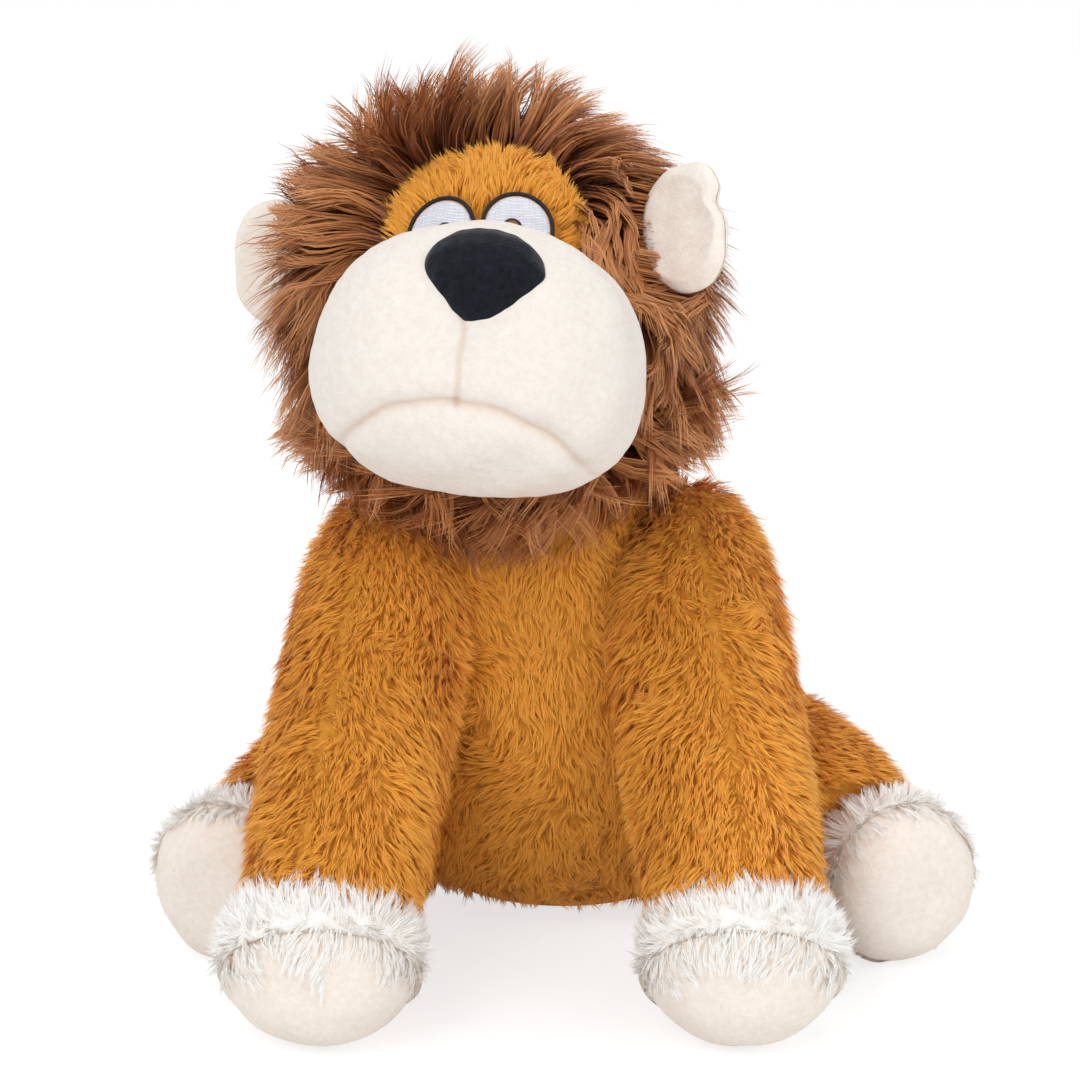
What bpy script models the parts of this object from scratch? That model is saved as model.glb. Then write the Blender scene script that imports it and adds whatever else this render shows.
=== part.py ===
"""A sitting plush lion, 25 cm tall: a stuffed body that leans a little, a head with a long-pile mane,
a velour muzzle and embroidered eyes, sewn arms and legs with paws, and a tail with a tuft.

Metres, +Z up. The lion looks along -Y and its own left side is at +X. The origin is the middle of the
flat seat under the body.
"""

import math

import bpy
from mathutils import Matrix, Vector

# Clearances
SEAM_GAP = 0.0003
SWING_GAP = 0.0008
FORM_GAP = 0.0009
LIMB_ROOM = 0.001
FLAT_DEPTH = 0.0005
CUT_REACH = 0.4

# Body
TORSO_HEIGHT = 0.158
TORSO_WIDTH = 0.124
TORSO_DEPTH = 0.102
TORSO_LEAN = -0.012
COVER_THICKNESS = 0.004
BEAN_BAG_HEIGHT = 0.034
# rise, half width, half depth and lean of each ring, as shares of the body's own sizes
TORSO_RING_SHARES = (
    (0.00, 0.44, 0.38, 0.00),
    (0.08, 0.84, 0.74, 0.00),
    (0.28, 1.05, 1.02, 0.00),
    (0.52, 0.98, 0.96, 0.20),
    (0.78, 0.76, 0.76, 0.70),
    (0.95, 0.60, 0.62, 1.00),
    (1.00, 0.36, 0.38, 1.00),
)

# Neck
NECK_RADIUS = 0.030
NECK_HEIGHT = 0.148
NECK_FORWARD = 0.006
NECK_TURN = math.radians(20)
NECK_NOD = math.radians(8)

# Head
HEAD_RADIUS = 0.046
HEAD_RISE = 0.039
HEAD_FORWARD = 0.012
HEAD_SHIFT = -0.005
HEAD_PITCH = math.radians(20)
HEAD_ROLL = math.radians(-5)
HEAD_YAW = math.radians(6.5)
FACE_SWELL = 0.004
MANE_WIDTH = 0.130
MANE_DEPTH = 0.118
MANE_HEIGHT = 0.132
MANE_BACK = 0.006
MANE_ROOM = 0.011
SHOULDER_ROOM = 0.010
BROW_RADIUS = 0.031
BROW_FLARE = 0.012
BROW_RISE = 0.0205

# Muzzle
MUZZLE_WIDTH = 0.093
MUZZLE_HEIGHT = 0.076
MUZZLE_DROP = 0.0185
MUZZLE_BACK = 0.030
MUZZLE_LENGTH = 0.059
MUZZLE_ROLL = math.radians(9)
MOUTH_RADIUS = 0.052
MOUTH_RISE = -0.030
# right half of the outline, from the top round to the chin, as shares of half the width and height
MUZZLE_OUTLINE_SHARES = (
    (0.00, 1.00),
    (0.50, 0.86),
    (0.88, 0.50),
    (1.00, -0.20),
    (0.88, -0.64),
    (0.52, -0.92),
    (0.00, -1.00),
)
# place along the muzzle, size of the outline there, and how far it rises as a share of half the height
MUZZLE_RING_SHARES = (
    (0.00, 0.88, 0.00),
    (0.30, 1.02, 0.00),
    (0.62, 0.98, 0.00),
    (0.86, 0.78, 0.02),
    (0.98, 0.48, 0.04),
    (1.00, 0.22, 0.04),
)

# Nose and eyes
NOSE_WIDTH = 0.034
NOSE_HEIGHT = 0.0275
NOSE_THICKNESS = 0.015
NOSE_RISE = -0.0005
NOSE_ASIDE = 0.003
NOSE_REACH = 0.0765
NOSE_TILT = math.radians(14)
# right half of the nose's outline, from the top round to the point at the bottom
NOSE_OUTLINE_SHARES = (
    (0.00, 0.96),
    (0.62, 0.86),
    (1.08, 0.24),
    (0.66, -0.48),
    (0.00, -1.22),
)
NOSE_RING_SHARES = ((0.0, 0.86), (0.45, 1.0), (0.85, 0.72), (1.0, 0.30))
EYE_RADIUS = 0.0088
EYE_SPREAD = 0.0214
EYE_RISE = 0.0175
EYE_THICKNESS = 0.0012
EYE_OUTLINE_WIDTH = 0.0012
EYE_OUTLINE_PROUD = 0.0006
EYE_TALL_SHARE = 1.14
PUPIL_RADIUS = 0.0028
PUPIL_DROP = 0.0005
PUPIL_IN = 0.0016
PUPIL_PROUD = 0.0006

# Ears. The left one stands further forward, on the side of the brow
EAR_REACH = 0.031
EAR_THICKNESS = 0.011
EAR_ROOT_HEIGHT = 0.022
EAR_ROOM = 0.003
EAR_FLOP = math.radians(15)
RIGHT_EAR_SINK = 0.0135
RIGHT_EAR_RISE = 0.0195
RIGHT_EAR_BACK = 0.004
RIGHT_EAR_SWEEP = math.radians(14)
LEFT_EAR_SINK = 0.022
LEFT_EAR_RISE = 0.0165
LEFT_EAR_BACK = -0.0215
LEFT_EAR_SWEEP = math.radians(-36)
# place from root to rim, height and thickness of each ring
EAR_RING_SHARES = (
    (0.00, 0.90, 0.28),
    (0.20, 1.45, 1.00),
    (0.60, 1.85, 0.95),
    (0.90, 1.40, 0.75),
    (1.00, 0.75, 0.45),
)

# Arms and forepaws
ARM_RADIUS = 0.0255
SHOULDER_HEIGHT = 0.113
RIGHT_SHOULDER_OUT = 0.050
LEFT_SHOULDER_OUT = 0.036
SHOULDER_FORWARD = 0.020
PAW_CENTRE_HEIGHT = 0.0255
PAW_REACH = 0.104
RIGHT_PAW_OUT = 0.068
LEFT_PAW_OUT = 0.049
PAW_WIDTH = 0.056
PAW_LENGTH = 0.056
PAW_HEIGHT = 0.049
WRIST_FROM_PAW = 0.010
PAW_PAD_TILT = math.radians(38)
PAW_PAD_INSET = 0.009
ARM_RAISE = math.radians(35)
# place along the arm, and its thickness, as shares of the arm's length and radius
ARM_RING_SHARES = ((-0.17, 0.62), (0.0, 0.98), (0.25, 1.06), (0.60, 1.04), (0.92, 1.0), (1.06, 0.8))
PAW_RING_SHARES = ((-1.0, 0.42), (-0.72, 0.86), (0.0, 1.12), (0.72, 0.90), (1.0, 0.45))

# Legs and feet
HIP_SPREAD = 0.104
HIP_HEIGHT = 0.036
HIP_FORWARD = 0.010
HIP_SEAM_BACK = 0.026
FOOT_SPREAD = 0.190
FOOT_REACH = 0.047
FOOT_WIDTH = 0.047
FOOT_HEIGHT = 0.049
FOOT_THICKNESS = 0.040
FOOT_TURN = math.radians(24)
LEG_RADIUS = 0.031
LEG_HEIGHT_RADIUS = 0.0345
SOLE_INSET = 0.007
BESIDE_ARM_SHARE = 0.35
ANKLE_FROM_FOOT = 0.008
LEG_OUT = math.radians(30)
# place from hip to foot, thickness, height and rise of each ring
LEG_RING_SHARES = (
    (-0.36, 0.62, 0.62, 0.00),
    (-0.10, 0.98, 0.98, 0.06),
    (0.28, 1.04, 1.02, 0.06),
    (0.66, 0.90, 0.88, 0.00),
    (1.00, 0.70, 0.68, -0.14),
    (1.16, 0.42, 0.42, -0.20),
)
FOOT_RING_SHARES = ((-1.0, 0.50), (-0.70, 0.90), (0.0, 1.10), (0.70, 0.98), (1.0, 0.60))

# Tail
TAIL_RADIUS = 0.008
TAIL_LENGTH = 0.085
TAIL_ROOT_BACK = 0.0455
TAIL_ROOT_HEIGHT = 0.023
TAIL_BEND = 0.050
TUFT_RADIUS = 0.015
TUFT_LENGTH = 0.042
TAIL_SWING = math.radians(20)
TAIL_FALL_SHARE = 0.45
TAIL_LAST_STRETCH_SHARE = 0.7
TAIL_RING_SHARES = (
    (-0.12, 0.9),
    (0.04, 1.0),
    (0.2, 1.0),
    (0.4, 0.95),
    (0.7, 0.9),
    (1.0, 0.9),
    (1.06, 0.6),
)
TUFT_RING_SHARES = ((0.0, 0.5), (0.25, 1.0), (0.6, 0.95), (0.9, 0.5), (1.0, 0.18))

# How finely the soft forms are made
TORSO_POINTS = 14
LIMB_POINTS = 11
SMALL_POINTS = 8
SMOOTHING = 1
ROUND_SIDES = 24
SWEEP_STEPS = 3

COLOURS = {
    "gold_plush": ((0.58, 0.27, 0.05), 0.9),
    "brown_mane": ((0.22, 0.09, 0.04), 0.8),
    "cream_velour": ((0.86, 0.80, 0.72), 0.8),
    "white_plush": ((0.88, 0.87, 0.84), 0.9),
    "black_velour": ((0.015, 0.017, 0.025), 0.9),
    "white_thread": ((0.80, 0.80, 0.86), 0.5),
    "black_thread": ((0.02, 0.02, 0.02), 0.5),
    "fibre_filling": ((0.90, 0.90, 0.90), 1.0),
    "pellet_bag": ((0.75, 0.73, 0.68), 0.9),
}


def clear_scene():
    for old in list(bpy.data.objects):
        bpy.data.objects.remove(old)


def collection(name):
    made = bpy.data.collections.new(name)
    bpy.context.scene.collection.children.link(made)
    return made


def material(name):
    found = bpy.data.materials.get(name)
    if found:
        return found
    colour, roughness = COLOURS[name]
    made = bpy.data.materials.new(name)
    made.use_nodes = True
    shader = made.node_tree.nodes["Principled BSDF"]
    shader.inputs["Base Color"].default_value = (*colour, 1)
    shader.inputs["Roughness"].default_value = roughness
    shader.inputs["Metallic"].default_value = 0
    return made


clear_scene()
PARTS = collection("plush_lion")
CUTTERS = collection("cutters")
MIDDLE = Vector((0, 0, 0))
RIGHT = Vector((1, 0, 0))
UP = Vector((0, 0, 1))
AHEAD = Vector((0, -1, 0))
SIDES = ((-1, "right"), (1, "left"))


def is_cutter(obj):
    obj.hide_render = True
    obj.display_type = "WIRE"
    return obj


# Soft forms


def ring(centre, across, along, half_across, half_along, points):
    """Points round an ellipse, swelled so that the smoothed surface has the size asked for."""
    swell = 3 / (2 + math.cos(math.tau / points))
    turns = [math.tau * i / points for i in range(points)]
    return [
        centre + across * (half_across * swell * math.cos(t)) + along * (half_along * swell * math.sin(t))
        for t in turns
    ]


def outline_ring(centre, across, up, outline, half_width, half_height):
    """A ring from the right half of an outline, mirrored to the left."""
    points = 2 * (len(outline) - 1)
    swell = 3 / (2 + math.cos(math.tau / points))
    right = list(outline)
    left = [(-x, y) for x, y in outline[-2:0:-1]]
    return [
        centre + across * (x * half_width * swell) + up * (y * half_height * swell)
        for x, y in right + left
    ]


def soft_form(name, rings):
    """A closed cage of rings, smoothed by subdivision. The cage is turned to face outwards."""
    count = len(rings[0])
    mesh = bpy.data.meshes.new(name)
    points = [p for one in rings for p in one]
    faces = [tuple(range(count)), tuple(range(len(points) - 1, len(points) - 1 - count, -1))]
    for r in range(len(rings) - 1):
        for i in range(count):
            j = (i + 1) % count
            faces.append((r * count + j, r * count + i, (r + 1) * count + i, (r + 1) * count + j))
    mesh.from_pydata(points, [], faces)
    if signed_volume(mesh) < 0:
        mesh.flip_normals()
    mesh.shade_smooth()
    obj = bpy.data.objects.new(name, mesh)
    CUTTERS.objects.link(obj)
    smooth = obj.modifiers.new("swell", "SUBSURF")
    smooth.levels = smooth.render_levels = SMOOTHING
    return is_cutter(obj)


def signed_volume(mesh):
    total = 0
    for face in mesh.polygons:
        corners = [mesh.vertices[v].co for v in face.vertices]
        for b, c in zip(corners[1:-1], corners[2:]):
            total += corners[0].dot(b.cross(c))
    return total


def carried_rings(places, halves, side, points, grow=0):
    """Rings square to a path. The first and last move out by grow, as every ring does."""
    rings = []
    last = len(places) - 1
    for i, (place, (across, along)) in enumerate(zip(places, halves)):
        ahead = (places[min(i + 1, last)] - places[max(i - 1, 0)]).normalized()
        first = (side - ahead * side.dot(ahead)).normalized()
        second = ahead.cross(first)
        shift = -grow if i == 0 else grow if i == last else 0
        rings.append(ring(place + ahead * shift, first, second, across + grow, along + grow, points))
    return rings


def evaluated_points(obj):
    graph = bpy.context.evaluated_depsgraph_get()
    shown = obj.evaluated_get(graph)
    mesh = shown.to_mesh()
    points = [shown.matrix_world @ v.co for v in mesh.vertices]
    shown.to_mesh_clear()
    return points


def settle(obj):
    """Moves a form's cage up or down until it sinks into the floor by the depth that is cut flat."""
    bpy.context.view_layer.update()
    drop = min(p.z for p in evaluated_points(obj)) + FLAT_DEPTH
    for v in obj.data.vertices:
        v.co.z -= drop
    return drop


# Cutting and joining


def cut(obj, cutter, operation="DIFFERENCE"):
    step = obj.modifiers.new(operation.lower(), "BOOLEAN")
    step.operation = operation
    step.solver = "EXACT"
    step.object = cutter
    return obj


def half_space(name, point, normal):
    """A block whose face passes through a point, and which fills the side that the normal points to."""
    bpy.ops.mesh.primitive_cube_add(size=CUT_REACH)
    block = bpy.context.object
    turn = normal.normalized().to_track_quat("Z", "Y").to_matrix().to_4x4()
    block.data.transform(
        Matrix.Translation(point) @ turn @ Matrix.Translation((0, 0, CUT_REACH / 2))
    )
    return move_to(block, name, CUTTERS)


def ball(name, centre, radius, home, flatness=1):
    bpy.ops.mesh.primitive_uv_sphere_add(segments=ROUND_SIDES, ring_count=ROUND_SIDES // 2, radius=radius)
    made = bpy.context.object
    made.data.transform(Matrix.Translation(centre) @ Matrix.Diagonal((1, 1, flatness, 1)))
    made.data.shade_smooth()
    return move_to(made, name, home)


def disc(name, centre, normal, radius, length, home):
    """A short cylinder, from a centre on its back face along a normal."""
    bpy.ops.mesh.primitive_cylinder_add(vertices=ROUND_SIDES, radius=radius, depth=length)
    made = bpy.context.object
    turn = normal.normalized().to_track_quat("Z", "Y").to_matrix().to_4x4()
    made.data.transform(Matrix.Translation(centre) @ turn @ Matrix.Translation((0, 0, length / 2)))
    return move_to(made, name, home)


def move_to(obj, name, home):
    for old in list(obj.users_collection):
        old.objects.unlink(obj)
    home.objects.link(obj)
    obj.name = obj.data.name = name
    if home is CUTTERS:
        is_cutter(obj)
    return obj


def frozen(obj, name, home, matrix=None):
    """A plain mesh copy of a form as its modifiers make it, moved by a matrix."""
    bpy.context.view_layer.update()
    graph = bpy.context.evaluated_depsgraph_get()
    mesh = bpy.data.meshes.new_from_object(obj.evaluated_get(graph))
    mesh.transform(obj.matrix_world)
    if matrix is not None:
        mesh.transform(matrix)
    mesh.name = name
    made = bpy.data.objects.new(name, mesh)
    home.objects.link(made)
    return is_cutter(made) if home is CUTTERS else made


def part(obj, name, finish):
    """A finished node: frozen from its form, with its material."""
    made = frozen(obj, name, PARTS)
    made.data.materials.clear()
    made.data.materials.append(material(finish))
    made.data.shade_smooth()
    return made


def hang(name, place, pieces, carrier=None):
    """An empty on a joint's axis. The pieces that turn about it get their origins there, and follow it."""
    pivot = bpy.data.objects.new(name, None)
    pivot.empty_display_size = NECK_RADIUS
    PARTS.objects.link(pivot)
    pivot.location = place
    if carrier:
        bpy.context.view_layer.update()
        pivot.parent = carrier
        pivot.location = place - carrier.matrix_world.translation
    for piece in pieces:
        piece.data.transform(Matrix.Translation(-place))
        piece.parent = pivot
    return pivot


def about(pivot, axis, angle):
    return Matrix.Translation(pivot) @ Matrix.Rotation(angle, 4, axis) @ Matrix.Translation(-pivot)


def sweep(low, high):
    """Angles from one limit to the other, rest among them."""
    steps = [low + (high - low) * i / SWEEP_STEPS for i in range(SWEEP_STEPS + 1)]
    return sorted({round(a, 6) for a in steps + [0.0]})


def cut_swept(obj, solid, motions):
    """Cuts a moving form by a neighbour, wherever one of its motions brings them together."""
    for i, (pivot, axis, angle) in enumerate(motions):
        name = f"{obj.name}_by_{solid.name}_{i}"
        cut(obj, frozen(solid, name, CUTTERS, about(pivot, axis, -angle)))


# Body


def torso_form(name, grow):
    rings = []
    last = len(TORSO_RING_SHARES) - 1
    for i, (rise, wide, deep, lean) in enumerate(TORSO_RING_SHARES):
        shift = -grow if i == 0 else grow if i == last else 0
        centre = Vector((TORSO_LEAN * lean, 0, TORSO_HEIGHT * rise + shift))
        rings.append(
            ring(
                centre,
                RIGHT,
                -AHEAD,
                TORSO_WIDTH / 2 * wide + grow,
                TORSO_DEPTH / 2 * deep + grow,
                TORSO_POINTS,
            )
        )
    return soft_form(name, rings)


NECK = Vector((TORSO_LEAN, -NECK_FORWARD, NECK_HEIGHT))
FLOOR = half_space("floor", MIDDLE, -UP)


def make_body():
    """The cover is a shell, open at the neck, round a filling that stands on a bag of pellets."""
    outer = torso_form("torso_form", 0)
    drop = settle(outer)
    inner = torso_form("torso_inside", -COVER_THICKNESS)
    stuffing = torso_form("torso_stuffing", -COVER_THICKNESS - FORM_GAP)
    for form in (inner, stuffing):
        for v in form.data.vertices:
            v.co.z -= drop
    neck_seat = ball("neck_seat", NECK, NECK_RADIUS + SWING_GAP, CUTTERS)
    cover = cut(frozen(outer, "torso_cover_cut", CUTTERS), FLOOR)
    cut(cover, inner)
    cut(cover, neck_seat)
    part(cover, "torso_cover", "gold_plush")
    bag_top = UP * BEAN_BAG_HEIGHT
    above = half_space("above_bag", bag_top, UP)
    below = half_space("below_filling", bag_top + UP * SEAM_GAP, -UP)
    filling = cut(cut(frozen(stuffing, "filling_cut", CUTTERS), below), neck_seat)
    part(filling, "torso_filling", "fibre_filling")
    part(cut(frozen(stuffing, "bag_cut", CUTTERS), above), "bean_bag", "pellet_bag")
    plug = part(ball("neck_ball", NECK, NECK_RADIUS, CUTTERS), "neck_plug", "fibre_filling")
    return drop, neck_seat, hang("head_turn_axis", NECK, [plug])


def torso_clearance(name, room, drop):
    """The body grown by the room that a piece beside it keeps when it moves."""
    grown = torso_form(name, room)
    for v in grown.data.vertices:
        v.co.z -= drop
    return grown


# Arms


def shoulder(side):
    out = LEFT_SHOULDER_OUT if side > 0 else RIGHT_SHOULDER_OUT
    return Vector((side * out, -SHOULDER_FORWARD, SHOULDER_HEIGHT))


def paw_centre(side):
    out = LEFT_PAW_OUT if side > 0 else RIGHT_PAW_OUT
    return Vector((side * out, -PAW_REACH, PAW_CENTRE_HEIGHT))


def arm_form(name, side, grow):
    start = shoulder(side)
    reach = paw_centre(side) - start
    places = [start + reach * along for along, _ in ARM_RING_SHARES]
    halves = [(ARM_RADIUS * thick, ARM_RADIUS * thick) for _, thick in ARM_RING_SHARES]
    return soft_form(name, carried_rings(places, halves, RIGHT, LIMB_POINTS, grow))


def paw_form(name, side):
    """A rounded paw, lying along the floor."""
    places = [paw_centre(side) + AHEAD * (PAW_LENGTH / 2 * along) for along, _ in PAW_RING_SHARES]
    halves = [(PAW_WIDTH / 2 * size, PAW_HEIGHT / 2 * size) for _, size in PAW_RING_SHARES]
    return soft_form(name, carried_rings(places, halves, RIGHT, LIMB_POINTS))


def arm_swing(side):
    return [(shoulder(side), -RIGHT, a) for a in sweep(0, ARM_RAISE)]


def make_arm(side, name, torso_clear):
    """A stuffed sleeve, sewn to a paw whose underside is a velour pad."""
    arm = arm_form(f"{name}_form", side, 0)
    paw = paw_form(f"{name}_paw_form", side)
    settle(paw)
    down_arm = (paw_centre(side) - shoulder(side)).normalized()
    wrist = paw_centre(side) - down_arm * WRIST_FROM_PAW
    beyond = half_space(f"{name}_beyond_wrist", wrist, down_arm)
    before = half_space(f"{name}_before_wrist", wrist + down_arm * SEAM_GAP, -down_arm)
    sleeve = cut(frozen(arm, f"{name}_sleeve", CUTTERS), beyond)
    cut_swept(sleeve, torso_clear, arm_swing(side))
    cut(sleeve, FLOOR)

    facing = Vector((0, -math.cos(PAW_PAD_TILT), -math.sin(PAW_PAD_TILT)))
    seam = paw_centre(side) + facing * PAW_PAD_INSET
    in_pad = half_space(f"{name}_pad_side", seam, facing)
    in_top = half_space(f"{name}_top_side", seam + facing * SEAM_GAP, -facing)
    whole = cut(cut(frozen(paw, f"{name}_paw_whole", CUTTERS), before), FLOOR)
    top = cut(frozen(whole, f"{name}_paw_top_cut", CUTTERS), in_pad)
    pad = cut(frozen(whole, f"{name}_paw_pad_cut", CUTTERS), in_top)
    pieces = [
        part(sleeve, f"arm_{name}", "gold_plush"),
        part(top, f"forepaw_{name}", "white_plush"),
        part(pad, f"forepaw_{name}_pad", "cream_velour"),
    ]
    hang(f"{name}_arm_axis", shoulder(side), pieces)


# Legs


def hip(side):
    return Vector((side * HIP_SPREAD / 2, -HIP_FORWARD, HIP_HEIGHT))


def foot_centre(side):
    return Vector((side * FOOT_SPREAD / 2, -FOOT_REACH, FOOT_HEIGHT / 2))


def leg_form(name, side):
    start = hip(side)
    reach = foot_centre(side) - start
    places, halves = [], []
    for along, thick, tall, rise in LEG_RING_SHARES:
        places.append(start + reach * along + UP * (LEG_HEIGHT_RADIUS * rise))
        halves.append((LEG_RADIUS * thick, LEG_HEIGHT_RADIUS * tall))
    across = Vector((reach.y, -reach.x, 0)).normalized()
    return soft_form(name, carried_rings(places, halves, across, LIMB_POINTS))


def foot_ahead(side):
    return Vector((side * math.sin(FOOT_TURN), -math.cos(FOOT_TURN), 0))


def foot_form(name, side):
    ahead = foot_ahead(side)
    across = Vector((ahead.y, -ahead.x, 0))
    places = [foot_centre(side) + ahead * (FOOT_THICKNESS / 2 * along) for along, _ in FOOT_RING_SHARES]
    halves = [(FOOT_WIDTH / 2 * size, FOOT_HEIGHT / 2 * size) for _, size in FOOT_RING_SHARES]
    return soft_form(name, carried_rings(places, halves, across, LIMB_POINTS))


def hip_seam(side):
    """The rear end of the hip seam, which the leg turns about, so that it swings clear of the body."""
    return hip(side) - AHEAD * HIP_SEAM_BACK


def beside_arm(name, side):
    """A plane along the arm, which flattens the haunch where the arm lies against it."""
    start = shoulder(side)
    down_arm = (paw_centre(side) - start).normalized()
    thigh = hip(side).lerp(foot_centre(side), BESIDE_ARM_SHARE)
    towards = start - thigh
    towards = (towards - down_arm * towards.dot(down_arm)).normalized()
    thickest = max(thick for _, thick in ARM_RING_SHARES)
    return half_space(name, start - towards * (ARM_RADIUS * thickest + LIMB_ROOM), towards)


def make_leg(side, name, torso_clear):
    """A haunch and leg in one stuffed piece, sewn to a foot with a velour sole that faces forward."""
    leg = leg_form(f"{name}_leg_form", side)
    settle(leg)
    foot = foot_form(f"{name}_foot_form", side)
    settle(foot)
    ahead = foot_ahead(side)
    ankle = foot_centre(side) - ahead * ANKLE_FROM_FOOT
    beyond = half_space(f"{name}_beyond_ankle", ankle, ahead)
    before = half_space(f"{name}_before_ankle", ankle + ahead * SEAM_GAP, -ahead)
    haunch = cut(frozen(leg, f"{name}_haunch", CUTTERS), beyond)
    cut(haunch, torso_clear)
    cut(haunch, beside_arm(f"{name}_beside_arm", side))
    cut(haunch, FLOOR)

    seam = foot_centre(side) + ahead * SOLE_INSET
    in_sole = half_space(f"{name}_sole_side", seam, ahead)
    in_top = half_space(f"{name}_instep_side", seam + ahead * SEAM_GAP, -ahead)
    whole = cut(cut(frozen(foot, f"{name}_foot_whole", CUTTERS), before), FLOOR)
    instep = cut(frozen(whole, f"{name}_instep_cut", CUTTERS), in_sole)
    sole = cut(frozen(whole, f"{name}_sole_cut", CUTTERS), in_top)
    pieces = [
        part(haunch, f"leg_{name}", "gold_plush"),
        part(instep, f"foot_{name}", "white_plush"),
        part(sole, f"foot_{name}_sole", "cream_velour"),
    ]
    hang(f"{name}_leg_axis", hip_seam(side), pieces)


# Tail


def tail_root():
    return Vector((0, TAIL_ROOT_BACK, TAIL_ROOT_HEIGHT))


def tail_point(along):
    """The tail comes down to the floor behind the body, and curls to the lion's left."""
    aside = along * along
    fall = min(max(along / TAIL_FALL_SHARE, 0), 1)
    fall = fall * fall * (3 - 2 * fall)
    down = (TAIL_ROOT_HEIGHT - TAIL_RADIUS) * fall
    return tail_root() + Vector((TAIL_BEND * aside, TAIL_LENGTH * along * (1 - aside / 2), -down))


def make_tail(torso_clear):
    places = [tail_point(along) for along, _ in TAIL_RING_SHARES]
    halves = [(TAIL_RADIUS * thick, TAIL_RADIUS * thick) for _, thick in TAIL_RING_SHARES]
    cord = soft_form("tail_form", carried_rings(places, halves, UP, SMALL_POINTS))
    settle(cord)
    ahead = (tail_point(1) - tail_point(TAIL_LAST_STRETCH_SHARE)).normalized()
    start = tail_point(1) + UP * (TUFT_RADIUS - TAIL_RADIUS)
    places = [start + ahead * (TUFT_LENGTH * along) for along, _ in TUFT_RING_SHARES]
    halves = [(TUFT_RADIUS * thick, TUFT_RADIUS * thick) for _, thick in TUFT_RING_SHARES]
    brush = soft_form("tuft_form", carried_rings(places, halves, UP, SMALL_POINTS))
    settle(brush)
    seam = tail_point(1) + ahead * (TUFT_LENGTH * TUFT_RING_SHARES[1][0] / 2)
    rope = cut(frozen(cord, "tail_cut", CUTTERS), half_space("beyond_tail", seam, ahead))
    swing = [(tail_root(), UP, a) for a in sweep(-TAIL_SWING, TAIL_SWING)]
    cut_swept(rope, torso_clear, swing)
    cut(rope, FLOOR)
    before = half_space("before_tuft", seam + ahead * SEAM_GAP, -ahead)
    tuft = cut(cut(frozen(brush, "tuft_cut", CUTTERS), before), FLOOR)
    pieces = [part(rope, "tail", "gold_plush"), part(tuft, "tail_tuft", "brown_mane")]
    hang("tail_axis", tail_root(), pieces)


# Head, built facing -Y about its own centre and then tilted back on the neck

HEAD_CENTRE = NECK + Vector((HEAD_SHIFT, -HEAD_FORWARD, HEAD_RISE))
HEAD_PLACE = (
    Matrix.Translation(HEAD_CENTRE)
    @ Matrix.Rotation(HEAD_ROLL, 4, "Y")
    @ Matrix.Rotation(-HEAD_YAW, 4, "Z")
    @ Matrix.Rotation(-HEAD_PITCH, 4, "X")
)


def put(obj, name, finish):
    """A finished node of the head, moved from the head's own frame to its place on the neck."""
    return part(frozen(obj, f"{name}_in_place", CUTTERS, HEAD_PLACE), name, finish)


def askew(place):
    """The muzzle is sewn on a little askew, turned about its own middle."""
    turned = Matrix.Rotation(MUZZLE_ROLL, 3, "Y") @ (place + UP * MUZZLE_DROP)
    return turned - UP * MUZZLE_DROP


def askew_direction(way):
    return Matrix.Rotation(MUZZLE_ROLL, 3, "Y") @ way


def muzzle_form(name, grow):
    across, up = askew_direction(RIGHT), askew_direction(UP)
    rings = []
    last = len(MUZZLE_RING_SHARES) - 1
    for i, (along, size, rise) in enumerate(MUZZLE_RING_SHARES):
        shift = -grow if i == 0 else grow if i == last else 0
        forward = MUZZLE_BACK + MUZZLE_LENGTH * along + shift
        centre = askew(AHEAD * forward + UP * (MUZZLE_HEIGHT / 2 * rise - MUZZLE_DROP))
        half_width = MUZZLE_WIDTH / 2 * size + grow
        half_height = MUZZLE_HEIGHT / 2 * size + grow
        rings.append(outline_ring(centre, across, up, MUZZLE_OUTLINE_SHARES, half_width, half_height))
    return soft_form(name, rings)


def nose_form(name):
    tilt = Matrix.Rotation(-NOSE_TILT, 3, "X")
    back = askew(RIGHT * NOSE_ASIDE + UP * NOSE_RISE + AHEAD * NOSE_REACH)
    across, up = askew_direction(RIGHT), askew_direction(tilt @ UP)
    ahead = askew_direction(tilt @ AHEAD)
    rings = []
    for along, size in NOSE_RING_SHARES:
        centre = back + ahead * (NOSE_THICKNESS * along)
        half_width = NOSE_WIDTH / 2 * size
        half_height = NOSE_HEIGHT / 2 * size
        rings.append(outline_ring(centre, across, up, NOSE_OUTLINE_SHARES, half_width, half_height))
    return soft_form(name, rings)


def mane_form(name):
    """The outer shape of the dense part of the long pile, a little fuller at the back."""
    made = ball(name, MIDDLE, 1, CUTTERS)
    size = Matrix.Diagonal((MANE_WIDTH / 2, MANE_DEPTH / 2, MANE_HEIGHT / 2, 1))
    made.data.transform(Matrix.Translation((0, MANE_BACK, 0)) @ size)
    return made


def brow_form(name, shrink):
    """The opening that the mane leaves over the brow, wider at the mane's surface than at the face."""
    bpy.ops.mesh.primitive_cone_add(
        vertices=ROUND_SIDES,
        radius1=BROW_RADIUS - BROW_FLARE - shrink,
        radius2=BROW_RADIUS + BROW_FLARE - shrink,
        depth=MANE_DEPTH,
    )
    made = bpy.context.object
    turn = AHEAD.to_track_quat("Z", "Y").to_matrix().to_4x4()
    made.data.transform(Matrix.Translation(UP * BROW_RISE + AHEAD * (MANE_DEPTH / 2)) @ turn)
    return move_to(made, name, CUTTERS)


def eye_place(side):
    """The middle of an eye on the face, and the way that it looks."""
    radius = HEAD_RADIUS + FACE_SWELL
    x, z = side * EYE_SPREAD / 2, EYE_RISE
    place = Vector((x, -math.sqrt(radius**2 - x**2 - z**2), z))
    return place, place.normalized()


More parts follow.
